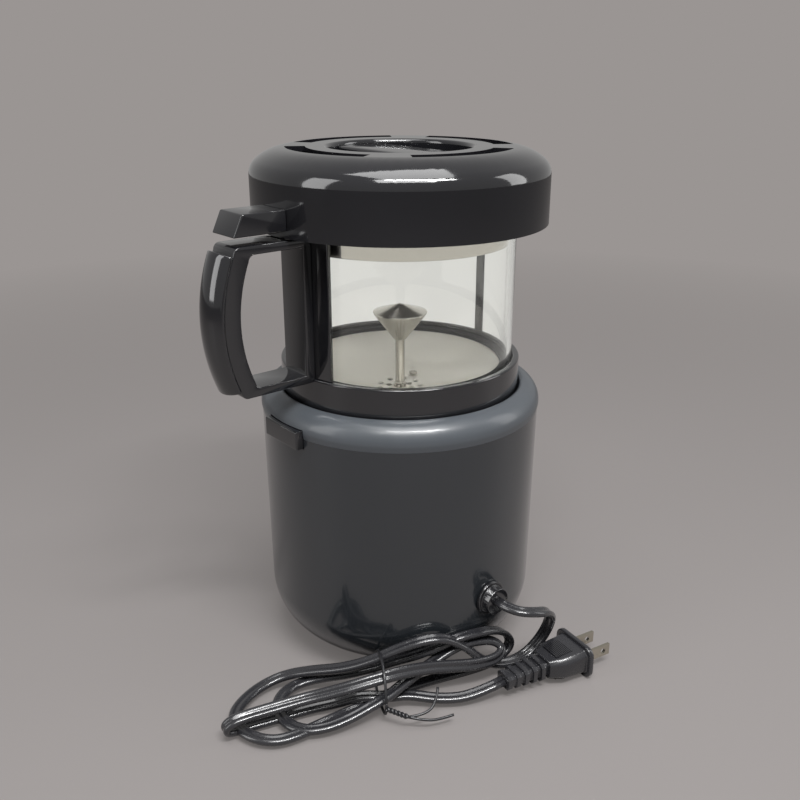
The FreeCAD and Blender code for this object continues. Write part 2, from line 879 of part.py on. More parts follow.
def timer_shaft():
    length = panel_front + dim("knob_length") - knob_face - panel_back + dim("timer_shaft_seat")
    rod = primitive("Cylinder", "timer_shaft", Radius=dim("timer_shaft_radius"), Height=length)
    placed(rod, 0, dim("timer_shaft_seat") - panel_back, timer_axis, (1, 0, 0), 90)
    return keep(rod, "timer_shaft")


def timer_knob():
    near = panel_front + dim("knob_gap")
    depth = dim("knob_length")
    skirt = primitive("Cone", "knob_skirt", Radius1=dim("knob_radius"), Radius2=dim("knob_radius") - 1.4,
                      Height=knob_face)
    placed(skirt, 0, -near, timer_axis, (1, 0, 0), 90)
    bar = primitive("Box", "knob_bar", Length=7, Width=depth, Height=dim("knob_radius") * 2 - 3)
    placed(bar, -3.5, -(near + depth), timer_axis - dim("knob_radius") + 1.5)
    bore = primitive("Cylinder", "knob_bore", Radius=dim("timer_shaft_radius"),
                     Height=depth - knob_face - dim("knob_gap"))
    placed(bore, 0, -near, timer_axis, (1, 0, 0), 90)
    return keep(cut("timer_knob", fuse("knob_solid", [skirt, bar]), bore), "timer_knob")


def indicator_lamp():
    length = dim("lamp_barrel_length")
    lens = primitive("Cylinder", "lamp_barrel", Radius=dim("lamp_radius") - 0.2, Height=length)
    placed(lens, 0, length - seam_radius - 1.8, lamp_axis, (1, 0, 0), 90)
    flange = primitive("Cylinder", "lamp_flange", Radius=dim("lamp_radius") + 1.5, Height=1.4)
    placed(flange, 0, -(seam_radius + 0.4), lamp_axis, (1, 0, 0), 90)
    return keep(fuse("indicator_lamp", [lens, flange]), "indicator_lamp")


# Gland, lead, hank and plug
def cord_gland():
    height = dim("gland_height")
    wall_outside = lower_radius + 0.3
    nut = primitive("Cylinder", "gland_nut", Radius=dim("gland_nut_radius"),
                    Height=gland_face - wall_outside)
    placed(nut, 0, gland_face, height, (1, 0, 0), 90)
    flange = primitive("Cylinder", "gland_flange", Radius=dim("gland_flange_radius"),
                       Height=dim("gland_flange_thickness"))
    placed(flange, 0, wall_outside + dim("gland_flange_thickness"), height, (1, 0, 0), 90)
    nut_thick = dim("gland_locknut_thickness")
    inside = wall_outside - wall - 2.4
    stem = primitive("Cylinder", "gland_stem", Radius=dim("gland_nut_radius") - 1.3,
                     Height=dim("gland_stem_length"))
    placed(stem, 0, wall_outside, height, (1, 0, 0), 90)
    locknut = primitive("Cylinder", "gland_locknut", Radius=dim("gland_flange_radius") - 0.5, Height=nut_thick)
    placed(locknut, 0, inside, height, (1, 0, 0), 90)
    return keep(fuse("cord_gland", [nut, flange, stem, locknut]), "cord_gland")


def smooth_path(points):
    """Straight runs joined by tangent arcs as large as the runs allow. Returns the wire and the radii."""
    nodes = [FreeCAD.Vector(*point) for point in points]
    edges = []
    radii = []
    last = nodes[0]
    for before, here, after in zip(nodes, nodes[1:], nodes[2:]):
        run_in, run_out = here - before, after - here
        turn = run_in.getAngle(run_out)
        trim = 0.45 * min(run_in.Length, run_out.Length)
        radius = trim / math.tan(turn / 2)
        start = here - run_in.normalize() * trim
        end = here + run_out.normalize() * trim
        inward = (start + end) * 0.5 - here
        distance = radius / math.cos(turn / 2)
        centre = here + inward.normalize() * distance
        middle = centre + (here - centre).normalize() * radius
        edges.append(Part.LineSegment(last, start).toShape())
        edges.append(Part.Arc(start, middle, end).toShape())
        radii.append(radius)
        last = end
    edges.append(Part.LineSegment(last, nodes[-1]).toShape())
    return Part.Wire(edges), radii


def cord_tube(label, route):
    """A tube of the lead's width along a route, with its bends printed and its volume compared."""
    path, radii = smooth_path(route)
    radius = dim("cord_width").value / 2
    way = FreeCAD.Vector(*route[1]) - FreeCAD.Vector(*route[0])
    section = Part.Wire(Part.makeCircle(radius, FreeCAD.Vector(*route[0]), way))
    tube = path.makePipeShell([section], True, True)
    expected = math.pi * radius ** 2 * path.Length
    print(label, "arc radii", [round(number, 1) for number in radii])
    print(label, "length", round(path.Length, 1), "volume share", round(tube.Volume / expected, 4))
    return feature(label, tube)


def power_cord():
    return cord_tube("power_cord", CORD_ROUTE)


def plug_lead():
    return cord_tube("plug_lead", LEAD_ROUTE)


def base_envelope(gap):
    """The room that the base takes up, grown by a gap, for shaping the hank that leans on it."""
    radius = dim("base_corner_radius").value
    centre = FreeCAD.Vector(corner_middle.value, 0, corner_top.value)
    low = FreeCAD.Vector(corner_middle.value, 0, foot.value - gap)
    side = FreeCAD.Vector(lower_radius.value + gap, 0, corner_top.value)
    half = math.sqrt(0.5) * (radius + gap)
    bend = Part.Arc(low, centre + FreeCAD.Vector(half, 0, -half), side).toShape()
    tall = seam.value
    top = [FreeCAD.Vector(side.x, 0, tall), FreeCAD.Vector(0, 0, tall)]
    corners = [side] + top + [FreeCAD.Vector(0, 0, low.z), low]
    lines = [Part.LineSegment(a, b).toShape() for a, b in zip(corners, corners[1:])]
    face = Part.Face(Part.Wire([bend] + lines))
    return face.revolve(FreeCAD.Vector(0, 0, 0), FreeCAD.Vector(0, 0, 1), 360)


def hank_section(place, near, far, top, grow=0.0, low=0.0):
    """One rounded cross-section of the hank, upright and square to its long axis."""
    corners = []
    round_share = 0.3
    width, height = far - near + 2 * grow, top - low + grow
    for across, up in ((round_share, 0), (1 - round_share, 0), (1, round_share), (1, 1 - round_share),
                       (1 - round_share, 1), (round_share, 1), (0, 1 - round_share), (0, round_share)):
        corners.append(FreeCAD.Vector(place, near - grow + width * across, low + height * up))
    return Part.makePolygon(corners + corners[:1])


def hank_placement():
    spin = FreeCAD.Rotation(FreeCAD.Vector(0, 0, 1), HANK_HEADING)
    return FreeCAD.Placement(FreeCAD.Vector(HANK_START[0], HANK_START[1], 0), spin)


def hank_solid():
    under = dim("tie_thickness").value + 0.1
    loft = Part.makeLoft([hank_section(*section, low=under) for section in HANK_SECTIONS], True, True)
    loft.Placement = hank_placement()
    return loft.cut(base_envelope(dim("hank_clearance").value))


def cord_hank():
    return feature("cord_hank", hank_solid())


def cord_tie():
    """The wire tie's band round the hank."""
    before = max(section for section in HANK_SECTIONS if section[0] <= TIE_PLACE)
    after = min(section for section in HANK_SECTIONS if section[0] > TIE_PLACE)
    share = (TIE_PLACE - before[0]) / (after[0] - before[0])
    here = [a + (b - a) * share for a, b in zip(before, after)]
    thick = dim("tie_thickness").value
    wire = hank_section(*here, grow=thick, low=0.0)
    band = Part.Face(wire).extrude(FreeCAD.Vector(dim("tie_width").value, 0, 0))
    band.Placement = hank_placement()
    return feature("cord_tie", band.cut(hank_solid()).cut(base_envelope(0.3)))


def plug_placement(x=0.0, y=0.0, z=0.0):
    """A place measured back from the plug's face along its axis."""
    spin = FreeCAD.Rotation(FreeCAD.Vector(0, 0, 1), PLUG_HEADING)
    base = FreeCAD.Vector(PLUG_FACE[0], PLUG_FACE[1], dim("plug_axis_height").value)
    return FreeCAD.Placement(base + spin.multVec(FreeCAD.Vector(x, y, z)), spin)


def block(length, width, height, start):
    """A box centred on the plug's axis, from a place along it."""
    return Part.makeBox(length, width, height, FreeCAD.Vector(start, -width / 2, -height / 2))


def plug_body():
    plate = block(dim("plug_flange_thickness").value, dim("plug_flange_width").value,
                  dim("plug_flange_height").value, -dim("plug_flange_thickness").value)
    lengthwise = [edge for edge in plate.Edges if abs(edge.Vertexes[0].X - edge.Vertexes[1].X) > 1]
    plate = plate.makeFillet(5.0, lengthwise)
    back = -dim("plug_flange_thickness").value - dim("plug_length").value
    wide, tall = dim("plug_width").value, dim("plug_thickness").value
    front_wire = rounded_wire(back + dim("plug_length").value, wide, tall)
    waist_wire = rounded_wire(back + dim("plug_length").value * 0.35, wide * 0.92, tall * 0.92)
    back_wire = rounded_wire(back, wide * 0.62, tall * 0.72)
    grip = Part.makeLoft([front_wire, waist_wire, back_wire], True, True)
    solid = plate.fuse(grip).removeSplitter()
    item = feature("plug_body", solid)
    item.Placement = plug_placement()
    return item


def rounded_wire(place, width, height):
    """A rectangle with cut corners, square to the plug's axis."""
    trim = min(width, height) * 0.18
    half, rise = width / 2, height / 2
    corners = [(half - trim, -rise), (half, -rise + trim), (half, rise - trim), (half - trim, rise),
               (trim - half, rise), (-half, rise - trim), (-half, trim - rise), (trim - half, -rise)]
    points = [FreeCAD.Vector(place, across, up) for across, up in corners]
    return Part.makePolygon(points + points[:1])


def plug_strain_relief():
    start = -dim("plug_flange_thickness").value - dim("plug_length").value
    length = dim("relief_length").value
    core = Part.makeLoft([rounded_wire(start, 10.5, 7.5), rounded_wire(start - length, 9.0, 6.0)], True, True)
    ribs = int(dim("relief_rib_count").value)
    pitch = length / ribs
    solids = [core]
    for rib in range(ribs):
        taper = 1 - 0.06 * rib
        near = start - pitch * rib - pitch * 0.5
        solids.append(Part.makeLoft([rounded_wire(near, 13.5 * taper, 10.5 * taper),
                                     rounded_wire(near - pitch * 0.5, 13.5 * taper, 10.5 * taper)], True, True))
    item = feature("plug_strain_relief", solids[0].multiFuse(solids[1:]).removeSplitter())
    item.Placement = plug_placement()
    return item


def plug_blades():
    blades = []
    for side in (-1, 1):
        thick, wide = dim("blade_thickness").value, dim("blade_width").value
        blade = Part.makeBox(dim("blade_length").value, thick, wide)
        blade.translate(FreeCAD.Vector(0, side * dim("blade_spacing").value / 2 - thick / 2, -wide / 2))
        hole = Part.makeCylinder(1.6, 30, FreeCAD.Vector(dim("blade_length").value - 4.5, -15, 0),
                                 FreeCAD.Vector(0, 1, 0))
        blades.append(blade.cut(hole))
    item = feature("plug_blades", Part.makeCompound(blades))
    item.Placement = plug_placement()
    return item


# Jar: ring, glass, gasket, bowl and deflector
ring = socket - dim("ring_clearance")
ring_inner = ring - dim("ring_wall")
ring_ledge = ring_inner - dim("ring_ledge_width")
ledge = raised("ring_ledge_top")
bowl_top = ledge + dim("bowl_wall")
bowl_edge = ring_inner - dim("bowl_clearance")
bowl_rim = bowl_edge - dim("bowl_flange")
glass = ring_inner - dim("glass_clearance")
glass_inner = glass - dim("glass_wall")
glass_bottom = bowl_top + dim("gasket_thickness")
post_top = raised("cone_bottom") + dim("post_socket_depth")


def jar_ring():
    body = new_body("jar_ring")
    turned(body, [
        (ring_inner, shelf_top), (ring, shelf_top),
        (ring, raised("ring_top")), (ring_inner, raised("ring_top")),
        (ring_inner, ledge), (ring_ledge, ledge),
        (ring_ledge, ledge - dim("ring_ledge_thickness") / 2),
        (ring_inner, ledge - dim("ring_ledge_thickness")),
    ])
    return keep(body, "jar_ring")


def lower_gasket():
    outer = ring_inner - 0.05
    body = new_body("lower_gasket")
    turned(body, [
        (bowl_rim + 0.6, bowl_top), (outer, bowl_top), (outer, raised("ring_top") - 0.3),
        (glass + 0.05, raised("ring_top") - 0.3), (glass + 0.05, glass_bottom), (bowl_rim + 0.6, glass_bottom),
    ])
    return keep(body, "lower_gasket")


def glass_cylinder():
    return ring_body("glass_cylinder", glass_inner, glass, glass_bottom, raised("glass_top"))


def roasting_bowl():
    """The spun dish with the flat flange that rests on the ring's ledge."""
    rim = bowl_rim
    depth = dim("bowl_depth")
    thick = dim("bowl_wall")
    curve = (rim * rim + depth * depth) / (depth * 2)
    hole = dim("post_radius")
    floor = bowl_top - depth
    sag = curve - root(curve * curve - hole * hole)
    outer_curve = curve + thick
    outer_sag = outer_curve - root(outer_curve * outer_curve - hole * hole)
    drop = curve - depth + thick
    outer_rim = root(outer_curve * outer_curve - drop * drop)
    body = new_body("roasting_bowl")
    turned(body, [
        (hole, floor - thick + outer_sag, outer_curve),
        (outer_rim, ledge),
        (bowl_edge, ledge),
        (bowl_edge, bowl_top),
        (rim, bowl_top, -curve),
        (hole, floor + sag),
    ])
    for name, circle, count, start in (("inner", dim("bowl_inner_circle"), 6, 0.0),
                                       ("outer", dim("bowl_outer_circle"), 9, 20.0)):
        sketch = new_sketch(body, name + "_air_holes", "XY_Plane", floor - 4)
        turn = math.radians(start)
        circles(sketch, [(circle * math.cos(turn), round_off(circle, math.sin(turn)), dim("bowl_hole_radius"))])
        repeated(body, pocketed(body, sketch, 12, True), count)
    return keep(body, "roasting_bowl")


def deflector_post():
    floor = bowl_top - dim("bowl_depth")
    body = new_body("deflector_post")
    radius = dim("post_radius")
    collar = floor + 0.4
    tail = floor - dim("post_tail_length")
    turned(body, [
        (0, tail), (radius, tail), (radius, collar), (radius + 0.9, collar),
        (radius + 0.9, collar + 1.6), (radius, collar + 1.6), (radius, post_top), (0, post_top),
    ])
    return keep(body, "deflector_post")


def post_nut():
    radius = dim("post_radius")
    body = new_body("post_nut")
    top = bowl_top - dim("bowl_depth") - dim("bowl_wall")
    across = radius + dim("nut_wall")
    low = top - dim("nut_height")
    turned(body, [(radius, low), (across, low), (across, top), (radius, top)])
    return keep(body, "post_nut")


def deflector_cone():
    radius = dim("post_radius")
    neck = dim("cone_neck_radius")
    body = new_body("deflector_cone")
    turned(body, [
        (radius, raised("cone_bottom")), (neck, raised("cone_bottom")),
        (dim("cone_radius"), raised("cone_rim_height") - 0.3),
        (dim("cone_radius"), raised("cone_rim_height") + 0.3), (0, raised("cone_top")),
        (0, post_top), (radius, post_top),
    ])
    return keep(body, "deflector_cone")


def bowl_sensor():
    place = dim("sensor_place").value
    curve = (bowl_rim.value ** 2 + dim("bowl_depth").value ** 2) / (2 * dim("bowl_depth").value)
    height = (bowl_top - dim("bowl_depth")).value + curve - math.sqrt(curve ** 2 - place ** 2)
    foot_point = FreeCAD.Vector(place, 0, height + 0.5)
    head = Part.makeCylinder(dim("sensor_radius").value, dim("sensor_height").value, foot_point)
    turn = FreeCAD.Rotation(FreeCAD.Vector(0, 0, 1), 205.0)
    item = feature("bowl_sensor", head)
    item.Placement = FreeCAD.Placement(FreeCAD.Vector(0, 0, 0), turn)
    return item


# Posts, top ring and handle
post_outer = glass + 0.3 + dim("post_wall")
post_inner = glass + 0.3


def sector(name, inner, outer, low, high, angle, middle):
    """A piece of ring of the given angle, centred on a direction."""
    body = primitive("Cylinder", name + "_outer", Radius=outer, Height=high - low, Angle=angle)
    placed(body, 0, 0, low, (0, 0, 1), size(middle).value - size(angle).value / 2)
    bind(body, "Placement.Rotation.Angle", size(middle) - size(angle) / 2)
    core = primitive("Cylinder", name + "_core", Radius=inner, Height=high - low)
    placed(core, 0, 0, low)
    return cut(name, body, core)


def front_post():
    item = sector("front_post", post_inner, post_outer, raised("ring_top"), raised("top_ring_bottom"),
                  dim("front_post_angle"), 0)
    return keep(item, "front_post")


def back_post():
    item = sector("back_post", post_inner, post_outer, raised("ring_top"), raised("top_ring_bottom"),
                  dim("back_post_angle"), 180)
    return keep(item, "back_post")


def jar_top_ring():
    return ring_body("jar_top_ring", post_inner, ring, raised("top_ring_bottom"), raised("top_ring_top"))


handle_out = post_outer + dim("handle_reach")
bow = dim("handle_bow_radius")
handle_low = raised("handle_bottom")
handle_high = raised("handle_top")
bow_half = (handle_high - handle_low - 6) / 2
bow_sag = bow - root(bow * bow - bow_half * bow_half)
bow_middle = handle_low + 3 + bow_half
bow_centre = handle_out + bow_sag - bow


def handle_frame():
    body = new_body("handle_frame")
    start = post_outer - 1.5
    sketch = new_sketch(body, "handle_side")
    outline(sketch, [
        (start, handle_low), (handle_out - 3, handle_low, 3.2), (handle_out, handle_low + 3, bow),
        (handle_out, handle_high - 3, 3.2), (handle_out - 3, handle_high), (start, handle_high),
    ])
    padded(body, sketch, dim("handle_width"), True)
    bar = dim("handle_bar")
    inner_x = handle_out - dim("handle_rim_width")
    inner_bow = bow - dim("handle_rim_width")
    root_x = post_outer + dim("handle_post_depth")
    gap = new_sketch(body, "handle_opening")
    outline(gap, [
        (root_x, handle_low + bar), (inner_x - 3, handle_low + bar, 3.4),
        (inner_x, handle_low + bar + 3, inner_bow),
        (inner_x, handle_high - bar - 3, 3.4), (inner_x - 3, handle_high - bar), (root_x, handle_high - bar),
    ])
    opening = body.newObject("PartDesign::Pocket", "handle_opening_cut")
    opening.Profile = gap
    opening.Midplane = True
    bind(opening, "Length", dim("handle_width") + 2)
    DOC.recompute()
    seat = new_sketch(body, "post_seat", "XY_Plane", handle_low - 1)
    circles(seat, [(0, 0, post_outer)])
    pocketed(body, seat, handle_high - handle_low + 2, True)
    ring_seat = new_sketch(body, "ring_seat", "XY_Plane", handle_low - 1)
    circles(ring_seat, [(0, 0, ring)])
    pocketed(body, ring_seat, raised("ring_top") - handle_low + 1, True)
    return keep(body, "handle_frame")


def handle_grip():
    """The crowned outer shell, turned about the bow's centre so that it follows the frame."""
    body = new_body("handle_grip")
    sketch = new_sketch(body, "grip_section", "XY_Plane", bow_middle)
    half = dim("handle_width") / 2 + 0.4
    face = bow_centre + bow
    edge = face + dim("grip_edge")
    crown = face + dim("grip_crown")
    depth = dim("grip_crown") - dim("grip_edge")
    radius = (half * half + depth * depth) / (depth * 2)
    outline(sketch, [(face, -half), (edge, -half, radius), (edge, half), (face, half)])
    line = sketch.addGeometry(Part.LineSegment(FreeCAD.Vector(bow_centre.value, -5, 0),
                                               FreeCAD.Vector(bow_centre.value, 5, 0)), True)
    pin(sketch, line, 1, bow_centre, -5)
    pin(sketch, line, 2, bow_centre, 5)
    turn = body.newObject("PartDesign::Revolution", "grip_turn")
    turn.Profile = sketch
    turn.ReferenceAxis = (sketch, ["Axis0"])
    turn.Midplane = True
    bind(turn, "Angle", dim("grip_angle"))
    DOC.recompute()
    print("grip crown at", round(crown.value, 1), "reaches", round(body.Shape.BoundBox.XMax, 1))
    return keep(body, "handle_grip")


# Lid
lid = seam_radius + dim("lid_overhang")
lid_wall = dim("lid_wall")
lid_low = raised("lid_bottom")
lid_high = raised("lid_top")
wall_top = raised("lid_wall_top")
small = dim("lid_small_radius")
crown = lid - dim("lid_shoulder_width")
recess = lid - dim("recess_inset")
vent_inner = lid - dim("vent_inner_inset")
vent_outer = lid - dim("vent_outer_inset")
liner_bore = lid - dim("liner_width")
liner_circle = lid - dim("liner_pillar_inset")
filter_edge = liner_bore - dim("filter_clearance")
recess_floor = raised("recess_floor")


def lid_shell():
    # The shoulder is two tangent arcs: a small one from the wall and a large one into the top.
    across = lid - small - crown
    rise = lid_high - wall_top
    large = (across * across + rise * rise - small * small) / ((rise - small) * 2)
    span = large - small
    join_x = crown + across * large / span
    join_z = lid_high - large + (large - rise) * large / span
    inner_small = small - lid_wall
    inner_large = large - lid_wall
    inner_join_x = crown + across * inner_large / span
    inner_join_z = lid_high - large + (large - rise) * inner_large / span
    body = new_body("lid_shell")
    turned(body, [
        (lid - lid_wall, lid_low), (lid, lid_low), (lid, wall_top, small),
        (join_x, join_z, large), (crown, lid_high),
        (recess + lid_wall, lid_high), (recess + lid_wall, lid_high - lid_wall),
        (crown, lid_high - lid_wall, -inner_large), (inner_join_x, inner_join_z, -inner_small),
        (lid - lid_wall, wall_top),
    ])
    vent = new_sketch(body, "vent", "XY_Plane", lid_high - 12)
    vent_outline(vent)
    repeated(body, pocketed(body, vent, 20, True), 4)
    return keep(body, "lid_shell")


def lid_cup():
    """The round cup let into the lid's middle, with a rounded lip."""
    body = new_body("lid_cup")
    lip = lid_wall * 0.8
    turned(body, [
        (0, recess_floor - lid_wall), (recess + lid_wall, recess_floor - lid_wall),
        (recess + lid_wall, lid_high),
        (recess + lip, lid_high, lip), (recess, lid_high - lip), (recess, recess_floor), (0, recess_floor),
    ])
    return keep(body, "lid_cup")


def lid_grip_bar():
    """The bar across the cup that the fingers hold, ending at the cup's wall."""
    body = new_body("lid_grip_bar")
    half = dim("grip_bar_width") / 2
    reach = root(recess * recess - half * half)
    bar = new_sketch(body, "grip_bar", "XY_Plane", recess_floor)
    outline(bar, [(half, -reach), (half, reach, recess), (-half, reach), (-half, -reach, recess)])
    padded(body, bar, lid_high - recess_floor - dim("grip_bar_sunk"))
    return keep(body, "lid_grip_bar")


def vent_outline(sketch):
    """One arc-shaped air slot centred on +X."""
    half = math.radians(dim("vent_angle").value / 2)
    outer, inner = vent_outer, vent_inner
    outline(sketch, [
        (inner * math.cos(half), inner * -math.sin(half)),
        (outer * math.cos(half), outer * -math.sin(half), outer),
        (outer * math.cos(half), outer * math.sin(half)),
        (inner * math.cos(half), inner * math.sin(half), -inner),
    ])


def lid_tab():
    body = new_body("lid_tab")
    sketch = new_sketch(body, "tab_side")
    outline(sketch, [(lid - 4, raised("tab_bottom")), ((lid + dim("tab_length_low")), raised("tab_bottom")),
                     ((lid + dim("tab_length_high")), raised("tab_top")), (lid - 4, raised("tab_top"))])
    padded(body, sketch, dim("tab_width"), True)
    seat = new_sketch(body, "tab_seat", "XY_Plane", raised("tab_bottom") - 1)
    circles(seat, [(0, 0, lid)])
    pocketed(body, seat, raised("tab_top") - raised("tab_bottom") + 2, True)
    return keep(body, "lid_tab")


def lid_liner():
    body = new_body("lid_liner")
    low = raised("liner_bottom")
    high = low + dim("liner_thickness")
    bore = liner_bore
    outer = lid - lid_wall - 0.2
    lip = [(bore + 2, high), (bore + 2, high + 3), (bore, high + 3)]
    turned(body, [(bore, low), (outer, low), (outer, high)] + lip)
    pillar = new_sketch(body, "liner_pillar", "XY_Plane", high - 0.5)
    place = liner_circle * math.sqrt(0.5)
    circles(pillar, [(place, place, dim("liner_pillar_radius"))])
    repeated(body, padded(body, pillar, wall_top + small / 2 - high + 0.5), 4)
    screw_bore = new_sketch(body, "liner_bore", "XY_Plane", low - 1)
    circles(screw_bore, [(place, place, SCREW_HOLE)])
    repeated(body, pocketed(body, screw_bore, 12, True), 4)
    return keep(body, "lid_liner")


def lid_gasket():
    low = raised("top_ring_top") + 0.4
    return ring_body("lid_gasket", glass_inner + 0.3, ring, low, raised("liner_bottom"))


def lid_screws():
    one = screw(SCREW_HEAD_RADIUS, SCREW_HEAD - 0.6, SCREW_RADIUS, dim("lid_screw_length").value, 1)
    circle = liner_circle.value
    return feature("lid_screws", around(one, circle, 4, 45.0, raised("liner_bottom").value))


# Chaff filter
def filter_ring():
    outer = filter_edge
    inner = outer - dim("filter_wall")
    return ring_body("filter_ring", inner, outer, raised("filter_bottom"), raised("filter_top"))


def filter_mesh():
    outer = filter_edge - dim("filter_wall")
    disc = Part.makeCylinder(outer.value, dim("mesh_thickness").value,
                             FreeCAD.Vector(0, 0, raised("mesh_height").value))
    hole = Part.makeCylinder(dim("mesh_hole_radius").value, 4)
    holes = [around(hole, outer.value * share, count, 0.0, raised("mesh_height").value - 1)
             for share, count in ((0.22, 6), (0.44, 12), (0.66, 18), (0.88, 24))]
    for group in holes:
        disc = disc.cut(group)
    return feature("filter_mesh", disc)


def plate_screws():
    one = screw(SCREW_HEAD_RADIUS, SCREW_HEAD, SCREW_RADIUS, (ledge_top - foot).value, 1)
    return feature("plate_screws", around(one, plate_screw_circle.value, 4, 0.0, foot.value))


MAKERS = [
    base_housing, bottom_plate, foot_ring, plate_screws, base_rim, release_button,
    motor_can, motor_shaft, motor_screws, rectifier_board, chassis_plate, chassis_posts, chassis_screws,
    fan_shroud, fan_impeller, heater_can, heater_frame, heater_coil, thermostat, air_nozzle,
    timer_body, control_panel, timer_shaft, timer_knob, indicator_lamp,
    cord_gland, power_cord, cord_hank, cord_tie, plug_lead, plug_body, plug_strain_relief, plug_blades,
    jar_ring, lower_gasket, glass_cylinder, roasting_bowl, deflector_post, post_nut, deflector_cone,
    bowl_sensor, front_post, back_post, jar_top_ring, handle_frame, handle_grip,
    lid_shell, lid_cup, lid_grip_bar, lid_tab, lid_liner, lid_gasket, lid_screws, filter_ring, filter_mesh,
]


def check_and_export():
    """Stops if anything failed to build, then writes one file for each sub-part."""
    DOC.recompute()
    for item in DOC.Objects:
        if {"Invalid", "Error"} & set(item.State):
            raise RuntimeError(item.Name + " failed: " + ", ".join(item.State))
    os.makedirs("parts", exist_ok=True)
    for item in PARTS:
        if item.Shape.isNull() or not item.Shape.isValid() or not item.Shape.Solids:
            raise RuntimeError(item.Label + " has no valid shape")
        item.Shape.exportStep("parts/" + item.Label + ".step")
    print(len(PARTS), "sub-parts written")


for maker in MAKERS:
    maker()
check_and_export()
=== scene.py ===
"""Home coffee bean roaster: looks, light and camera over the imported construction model."""

import json
import logging
import math
from dataclasses import dataclass, field
from enum import Enum
from typing import Any, ClassVar, Iterable, Sequence

import bmesh
import bpy
from mathutils import Matrix, Vector

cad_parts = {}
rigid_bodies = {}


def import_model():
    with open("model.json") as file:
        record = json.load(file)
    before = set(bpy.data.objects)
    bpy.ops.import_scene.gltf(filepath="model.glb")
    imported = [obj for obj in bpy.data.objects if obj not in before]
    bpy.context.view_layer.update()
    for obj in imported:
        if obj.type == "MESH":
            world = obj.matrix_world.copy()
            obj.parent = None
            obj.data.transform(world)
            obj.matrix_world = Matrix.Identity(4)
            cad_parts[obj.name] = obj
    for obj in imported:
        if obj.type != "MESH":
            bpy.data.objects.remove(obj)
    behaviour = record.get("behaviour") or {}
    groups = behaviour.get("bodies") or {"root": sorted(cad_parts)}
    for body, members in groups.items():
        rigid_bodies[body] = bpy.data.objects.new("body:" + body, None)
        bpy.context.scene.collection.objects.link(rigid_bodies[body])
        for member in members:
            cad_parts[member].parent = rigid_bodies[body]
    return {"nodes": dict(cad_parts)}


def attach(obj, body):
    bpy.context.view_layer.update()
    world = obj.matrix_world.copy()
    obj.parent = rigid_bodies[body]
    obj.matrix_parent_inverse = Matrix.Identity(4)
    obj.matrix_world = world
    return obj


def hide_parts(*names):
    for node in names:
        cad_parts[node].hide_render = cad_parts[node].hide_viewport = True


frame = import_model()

LOG = logging.getLogger("bean_roaster")
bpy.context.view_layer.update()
MM = 0.001
# Distances in metres below which points of a line, of a made mesh or of a node's mesh count as one.
SAME_POINT = 0.0002
DOUBLES = 1e-6
NODE_DOUBLES = 2e-6
# How near the axis a point has no direction of its own.
ON_AXIS = 1e-6
# The share of a face's own normal that keeps a corner's sum from being nothing.
OWN_SHARE = 1e-9
# Steps round the axis, for most turned pieces and for those with fine edges.
ROUND = 144
FINE_ROUND = 192
# Steps in each rounded corner of a grown ring's section.
CORNER_STEPS = 4

Point = tuple[float, float, float]


class Body(Enum):
    """The moving bodies that a piece can ride on."""

    BASE = "base"
    KNOB = "knob"
    BUTTON = "button"
    JAR = "jar"
    LID = "lid"
    FILTER = "filter"


class Grain(Enum):
    """How a surface's fine texture runs."""

    PEEL = "peel"
    SPARK = "spark"
    TURNED = "turned"
    DRAWN = "drawn"


def linear(code: str) -> tuple[float, float, float, float]:
    """Turns an sRGB hex colour into linear values.

    Args:
        code: Six hex digits after a hash.

    Returns:
        Red, green, blue and a full alpha.
    """
    values = [int(code[i:i + 2], 16) / 255 for i in (1, 3, 5)]
    bent = [v / 12.92 if v <= 0.04045 else ((v + 0.055) / 1.055) ** 2.4 for v in values]
    return (bent[0], bent[1], bent[2], 1.0)


def add_node(tree: bpy.types.NodeTree, kind: str, settings: dict[str, Any] | None = None,
             inputs: dict[Any, Any] | None = None) -> bpy.types.Node:
    """Adds one node with its settings, and gives its inputs values or links. A node stands for its first output.

    Args:
        tree: The node tree.
        kind: The node's type name.
        settings: Properties of the node itself.
        inputs: Values, output sockets or nodes, by the input's name or number.

    Returns:
        The new node.
    """
    node = tree.nodes.new(kind)
    for name, value in (settings or {}).items():
        setattr(node, name, value)
    for name, value in (inputs or {}).items():
        if isinstance(value, bpy.types.Node):
            value = value.outputs[0]
        if isinstance(value, bpy.types.NodeSocket):
            tree.links.new(value, node.inputs[name])
        else:
            node.inputs[name].default_value = value
    return node


def linked(name: str, data: bpy.types.ID | None) -> bpy.types.Object:
    """Makes an object of some data and puts it in the scene.

    Args:
        name: The object's name.
        data: Its mesh, curve, camera or lamp.

    Returns:
        The object.
    """
    item = bpy.data.objects.new(name, data)
    bpy.context.scene.collection.objects.link(item)
    return item


def empty_tree(owner: bpy.types.Material | bpy.types.World) -> bpy.types.NodeTree:
    """Clears a material's or a world's nodes.

    Args:
        owner: The material or world.

    Returns:
        Its empty tree.
    """
    owner.use_nodes = True
    owner.node_tree.nodes.clear()
    return owner.node_tree


@dataclass(frozen=True)
class Coating:
    """Anything that a surface can be made of."""

    name: str
    colour: str

    def build(self) -> bpy.types.Material:
        """Makes the material, or returns the one already made.

        Returns:
            The material.
        """
        material = bpy.data.materials.get(self.name)
        if material is None:
            material = bpy.data.materials.new(self.name)
            tree = empty_tree(material)
            place = add_node(tree, "ShaderNodeTexCoord").outputs["Object"]
            shader = add_node(tree, "ShaderNodeBsdfPrincipled", inputs=self.shine(tree, place))
            add_node(tree, "ShaderNodeOutputMaterial", inputs={"Surface": shader})
        return material

    def shine(self, tree: bpy.types.NodeTree, place: bpy.types.NodeSocket) -> dict[str, Any]:
        """What the surface's shader is fed with: each kind of coating says it."""
        raise NotImplementedError


